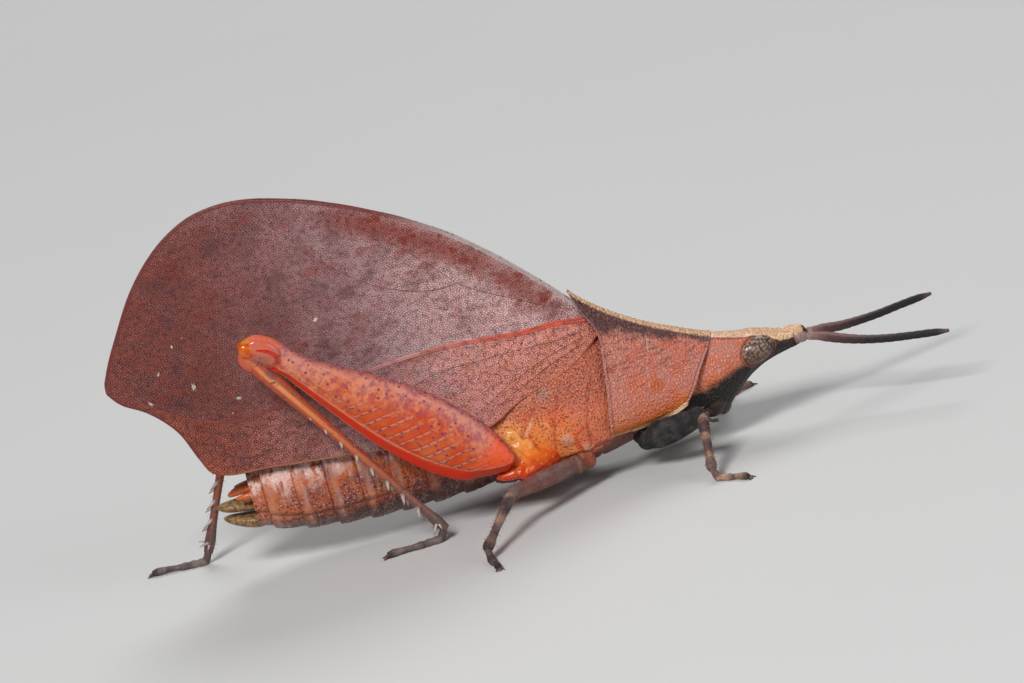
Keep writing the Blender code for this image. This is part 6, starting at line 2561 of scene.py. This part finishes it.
@dataclass
class SmallLeg:
    """A front or middle leg: hip, thigh, shin and foot."""

    kind: Leg
    side: Side
    joints: tuple
    thigh_radius: float
    shin_radius: float
    coxa_radii: Row = (0.9, 0.68, 0.5)
    foot_size: float = 0.27
    thigh_profile: tuple = (
        (-0.02, 0.4), (0.0, 0.6), (0.1, 0.85), (0.35, 1.0), (0.7, 0.88), (0.88, 0.74), (0.97, 0.8),
        (1.03, 0.5), (1.05, 0.3),
    )
    shin_profile: tuple = (
        (-0.04, 0.5), (0.0, 0.85), (0.08, 1.05), (0.4, 0.9), (0.8, 0.85), (0.95, 1.05), (1.02, 0.8),
        (1.04, 0.5),
    )

    def hip(self) -> Piece:
        """The hip and its ring at the thigh.

        Returns:
            The piece.
        """
        hip, hinge, knee = (np.array(point) for point in self.joints[:3])
        spots = np.array([hip, hinge, hinge + (knee - hinge) * 0.06])
        shares = np.linspace(0, 1, 20)
        path = eased(np.column_stack([(0, 0.7, 1), spots]), shares)
        first, middle, last = self.coxa_radii
        swell = (
            (0, 0.5 * first), (0.06, 0.8 * first), (0.2, first), (0.45, 0.9 * middle), (0.7, middle),
            (0.94, last), (1, 0.5 * last),
        )
        radii = eased(swell, shares)[:, 0]
        piece = rod(f"hip_{self.kind.value}_{self.side.label}", path, radii, 24)
        rounder(piece)
        points = corners_of(piece)
        share = np.clip(np.linalg.norm(points - hip, axis=1) / np.linalg.norm(hinge - hip), 0, 1)
        note(piece, "limb", share)
        return piece

    def build(self, finishes: dict[str, bpy.types.Material]) -> None:
        """Makes and places the leg's pieces.

        Args:
            finishes: The legs' materials by name.
        """
        _, hinge, knee, ankle, toe = self.joints
        kind, slot = self.kind.value, self.kind.slot
        label = f"{kind}_{self.side.label}"
        thigh = straight_limb(f"thigh_{label}", hinge, knee, self.thigh_radius, self.thigh_profile, 0.85, 5)
        shin = straight_limb(f"shin_{label}", knee, ankle, self.shin_radius, self.shin_profile, 1.0, 4)
        for piece, count, seed in ((thigh, 150, 11), (shin, 130, 13)):
            keep = np.ones(len(piece.data.vertices), bool)
            hairs = bristles(f"{piece.name}_hairs", piece, count, 0.3, (0, 0, -0.3), keep, seed)
            place_on_body(hairs, finishes["hair"], slot)
        place_on_body(self.hip(), finishes[f"{kind}_hip"], slot, f"coxa_{label}")
        place_on_body(thigh, finishes[f"{kind}_thigh"], slot, f"femur_{label}")
        place_on_body(shin, finishes[f"{kind}_shin"], slot, f"tibia_{label}")
        foot = Foot(self.kind, self.side, ankle, toe, self.foot_size)
        foot.place(finishes[f"{kind}_foot"], finishes["claw"])


@dataclass
class Legs:
    """All six legs in the pose that they stand in."""

    small: tuple = (
        (
            Leg.MID, Side.RIGHT,
            ((2.9, -2.7, 2.3), (1.9, -3.7, 2.1), (-2.9, -8.6, 2.75), (-5.4, -13, 0.85), (-5, -15.9, 0)),
        ),
        (
            Leg.MID, Side.LEFT,
            ((2.9, 2.7, 2.3), (2.1, 3.7, 2.1), (-2.2, 8.7, 2.9), (-4.2, 13.2, 0.85), (-3.6, 16, 0)),
        ),
        (
            Leg.FORE, Side.RIGHT,
            ((7, -1.9, 2.55), (7, -2.9, 2.15), (11, -5.6, 3.55), (10.6, -9.4, 0.85), (12.8, -11.4, 0)),
        ),
        (
            Leg.FORE, Side.LEFT,
            ((7, 1.9, 2.55), (7.3, 2.8, 2.1), (12.2, 5, 3.3), (12.9, 8.8, 0.85), (15.2, 10.6, 0)),
        ),
    )
    hind_base: Row = (-1.3, 5.3, 3.2)
    hind: tuple = (
        (Side.RIGHT, (-16.75, 5.45, 16.4), (-7.9, 5.5, 0.97), (-12.1, 5.9, 0.0)),
        (Side.LEFT, (-16.4, 5.45, 16.8), (-24.1, 5.1, 0.97), (-28.3, 5.9, 0.0)),
    )
    mid_radii: Row = (0.64, 0.37)
    fore_radii: Row = (0.9, 0.35)

    def finishes(self) -> dict[str, bpy.types.Material]:
        """Every material of the legs, by the piece that it is for.

        Returns:
            The materials by name.
        """
        soot, ash = Hue(0.02, 0.018, 0.019), Hue(0.06, 0.052, 0.052)
        cream, brown, violet = Hue(0.46, 0.28, 0.18), Hue(0.16, 0.08, 0.065), Hue(0.06, 0.036, 0.042)
        grey = Hue(0.17, 0.105, 0.10)
        knees = (
            PlainFinish("knee_dome", Hue(0.66, 0.12, 0.06), Hue(0.50, 0.13, 0.09), 1.3, 0.12, 0.003),
            PlainFinish("knee_amber", Hue(0.62, 0.13, 0.006), Hue(0.55, 0.055, 0.006), 2.2, 0.16, 0.004),
            PlainFinish("knee_lower", Hue(0.52, 0.085, 0.03), Hue(0.52, 0.13, 0.07), 1.6, 0.25, 0.006),
        )
        skins = (
            LegFinish("mid_thigh", Hue(0.20, 0.062, 0.05), Hue(0.22, 0.13, 0.12), grey, grey, 0.8, 0.45),
            LegFinish("mid_shin", grey, violet, cream, soot, 2.3, 0.45),
            LegFinish("mid_foot", violet, ash, grey, soot, 2.0, 0.4),
            LegFinish("fore_hip", soot, violet, soot, soot, 0.0, 0.45),
            LegFinish("fore_thigh", Hue(0.013, 0.012, 0.014), ash, soot, soot, 1.6, 0.6),
            LegFinish("fore_shin", violet, brown, cream, grey, 2.6, 0.45),
            LegFinish("fore_foot", Hue(0.17, 0.10, 0.085), cream, violet, soot, 2.0, 0.4),
            LegFinish("foot", Hue(0.11, 0.08, 0.075), Hue(0.22, 0.16, 0.14), violet, soot, 3.0, 0.35),
            LegFinish("mid_hip", Hue(0.26, 0.05, 0.02), Hue(0.36, 0.13, 0.07), grey, brown, 0.0, 0.3),
        )
        horns = (
            SpineFinish("spine", Hue(0.24, 0.12, 0.09), Hue(0.46, 0.38, 0.34), Hue(0.16, 0.13, 0.14)),
            SpineFinish("claw", Hue(0.16, 0.09, 0.07), Hue(0.09, 0.04, 0.03), Hue(0.012, 0.01, 0.01)),
            PlainFinish("red", Hue(0.55, 0.018, 0.002), Hue(0.46, 0.012, 0.002), 2.0, 0.16),
            PlainFinish("hair", Hue(0.22, 0.12, 0.09), Hue(0.10, 0.055, 0.05), 1.0, 0.4),
        )
        made = {finish.name: finish.build() for finish in (*knees, *skins, *horns)}
        made.update(thigh=ThighFinish().build(), shin=ShinFinish().build(), hip_wax=HipFinish().build())
        return made

    def build(self) -> None:
        """Makes and places the legs."""
        finishes = self.finishes()
        for side, knee, ankle, toe in self.hind:
            HindLeg(side, self.hind_base, knee, ankle, toe).build(finishes)
        for kind, side, joints in self.small:
            radii = self.mid_radii if kind is Leg.MID else self.fore_radii
            SmallLeg(kind, side, joints, *radii).build(finishes)


@dataclass
class Studio:
    """A pale floor, soft lights, and a camera at the photograph's viewing angle."""

    target: Row = (0.0, 0.0, 0.0107)
    distance: float = 0.582
    lens: float = 300.0
    elevation: float = 15.0
    roll: float = 16.0
    floor_size: float = 3.0
    sky: Row = (0.92, 0.95, 1.0, 1.0)
    sky_strength: float = 0.14
    lights: tuple = (
        ("key", (-0.2, -0.45, 0.5), 0.22, 3.9), ("fill", (0.5, -0.4, 0.25), 0.35, 0.9),
        ("rim", (0.05, 0.45, 0.5), 0.3, 1.6),
    )

    def floor(self) -> None:
        """The plain pale floor."""
        clear_selection()
        bpy.ops.mesh.primitive_plane_add(size=self.floor_size)
        floor = bpy.context.active_object
        floor.name = "studio_floor"
        paint = Paint("studio_floor")
        grain = paint.clouds(paint.place, 0.02, 2.0, 0.5)
        paint.colour = paint.mix(grain, Hue(0.6, 0.6, 0.59), Hue(0.63, 0.63, 0.62))
        floor.data.materials.append(paint.coat(0.7, grain * 0.1))

    def light(self) -> None:
        """Three soft lights and an even pale surrounding."""
        for name, place, size, watts in self.lights:
            clear_selection()
            bpy.ops.object.light_add(type="AREA", location=place)
            lamp = bpy.context.active_object
            lamp.name = f"studio_{name}"
            lamp.data.size = size
            lamp.data.energy = watts
            way = Vector(self.target) - Vector(place)
            lamp.rotation_euler = way.to_track_quat("-Z", "Y").to_euler()
        world = bpy.context.scene.world or bpy.data.worlds.new("studio")
        bpy.context.scene.world = world
        world.use_nodes = True
        background = world.node_tree.nodes["Background"]
        background.inputs["Color"].default_value = self.sky
        background.inputs["Strength"].default_value = self.sky_strength

    def camera(self) -> None:
        """The camera, turned with the insect from its slope to the level floor."""
        clear_selection()
        bpy.ops.object.camera_add()
        camera = bpy.context.active_object
        camera.name = "photo_camera"
        camera.data.lens = self.lens
        camera.data.clip_start = 0.001
        low, roll = math.radians(self.elevation), math.radians(self.roll)
        place = Vector(self.target) + Vector((0, -math.cos(low), math.sin(low))) * self.distance
        forward = (Vector(self.target) - place).normalized()
        right = Vector((1, 0, 0))
        up = right.cross(forward)
        across = right * math.cos(roll) - up * math.sin(roll)
        over = up * math.cos(roll) + right * math.sin(roll)
        camera.matrix_world = Matrix.Translation(place) @ Matrix(
            (across, over, -forward)
        ).transposed().to_4x4()
        bpy.context.scene.camera = camera

    def build(self) -> None:
        """Sets the floor, the lights and the camera."""
        self.floor()
        self.light()
        self.camera()
        bpy.context.scene.view_settings.view_transform = "Standard"


def main() -> None:
    """Makes every part of the insect, then the studio."""
    logging.basicConfig(level=logging.INFO, format="%(message)s", stream=sys.stdout)
    for part in (Wings(), Shield(), Head(), Antennae(), Thorax(), Abdomen(), Legs()):
        part.build()
        log.info("%s done", type(part).__name__)
    Studio().build()
    clear_selection()


if __name__ == "__main__":
    main()
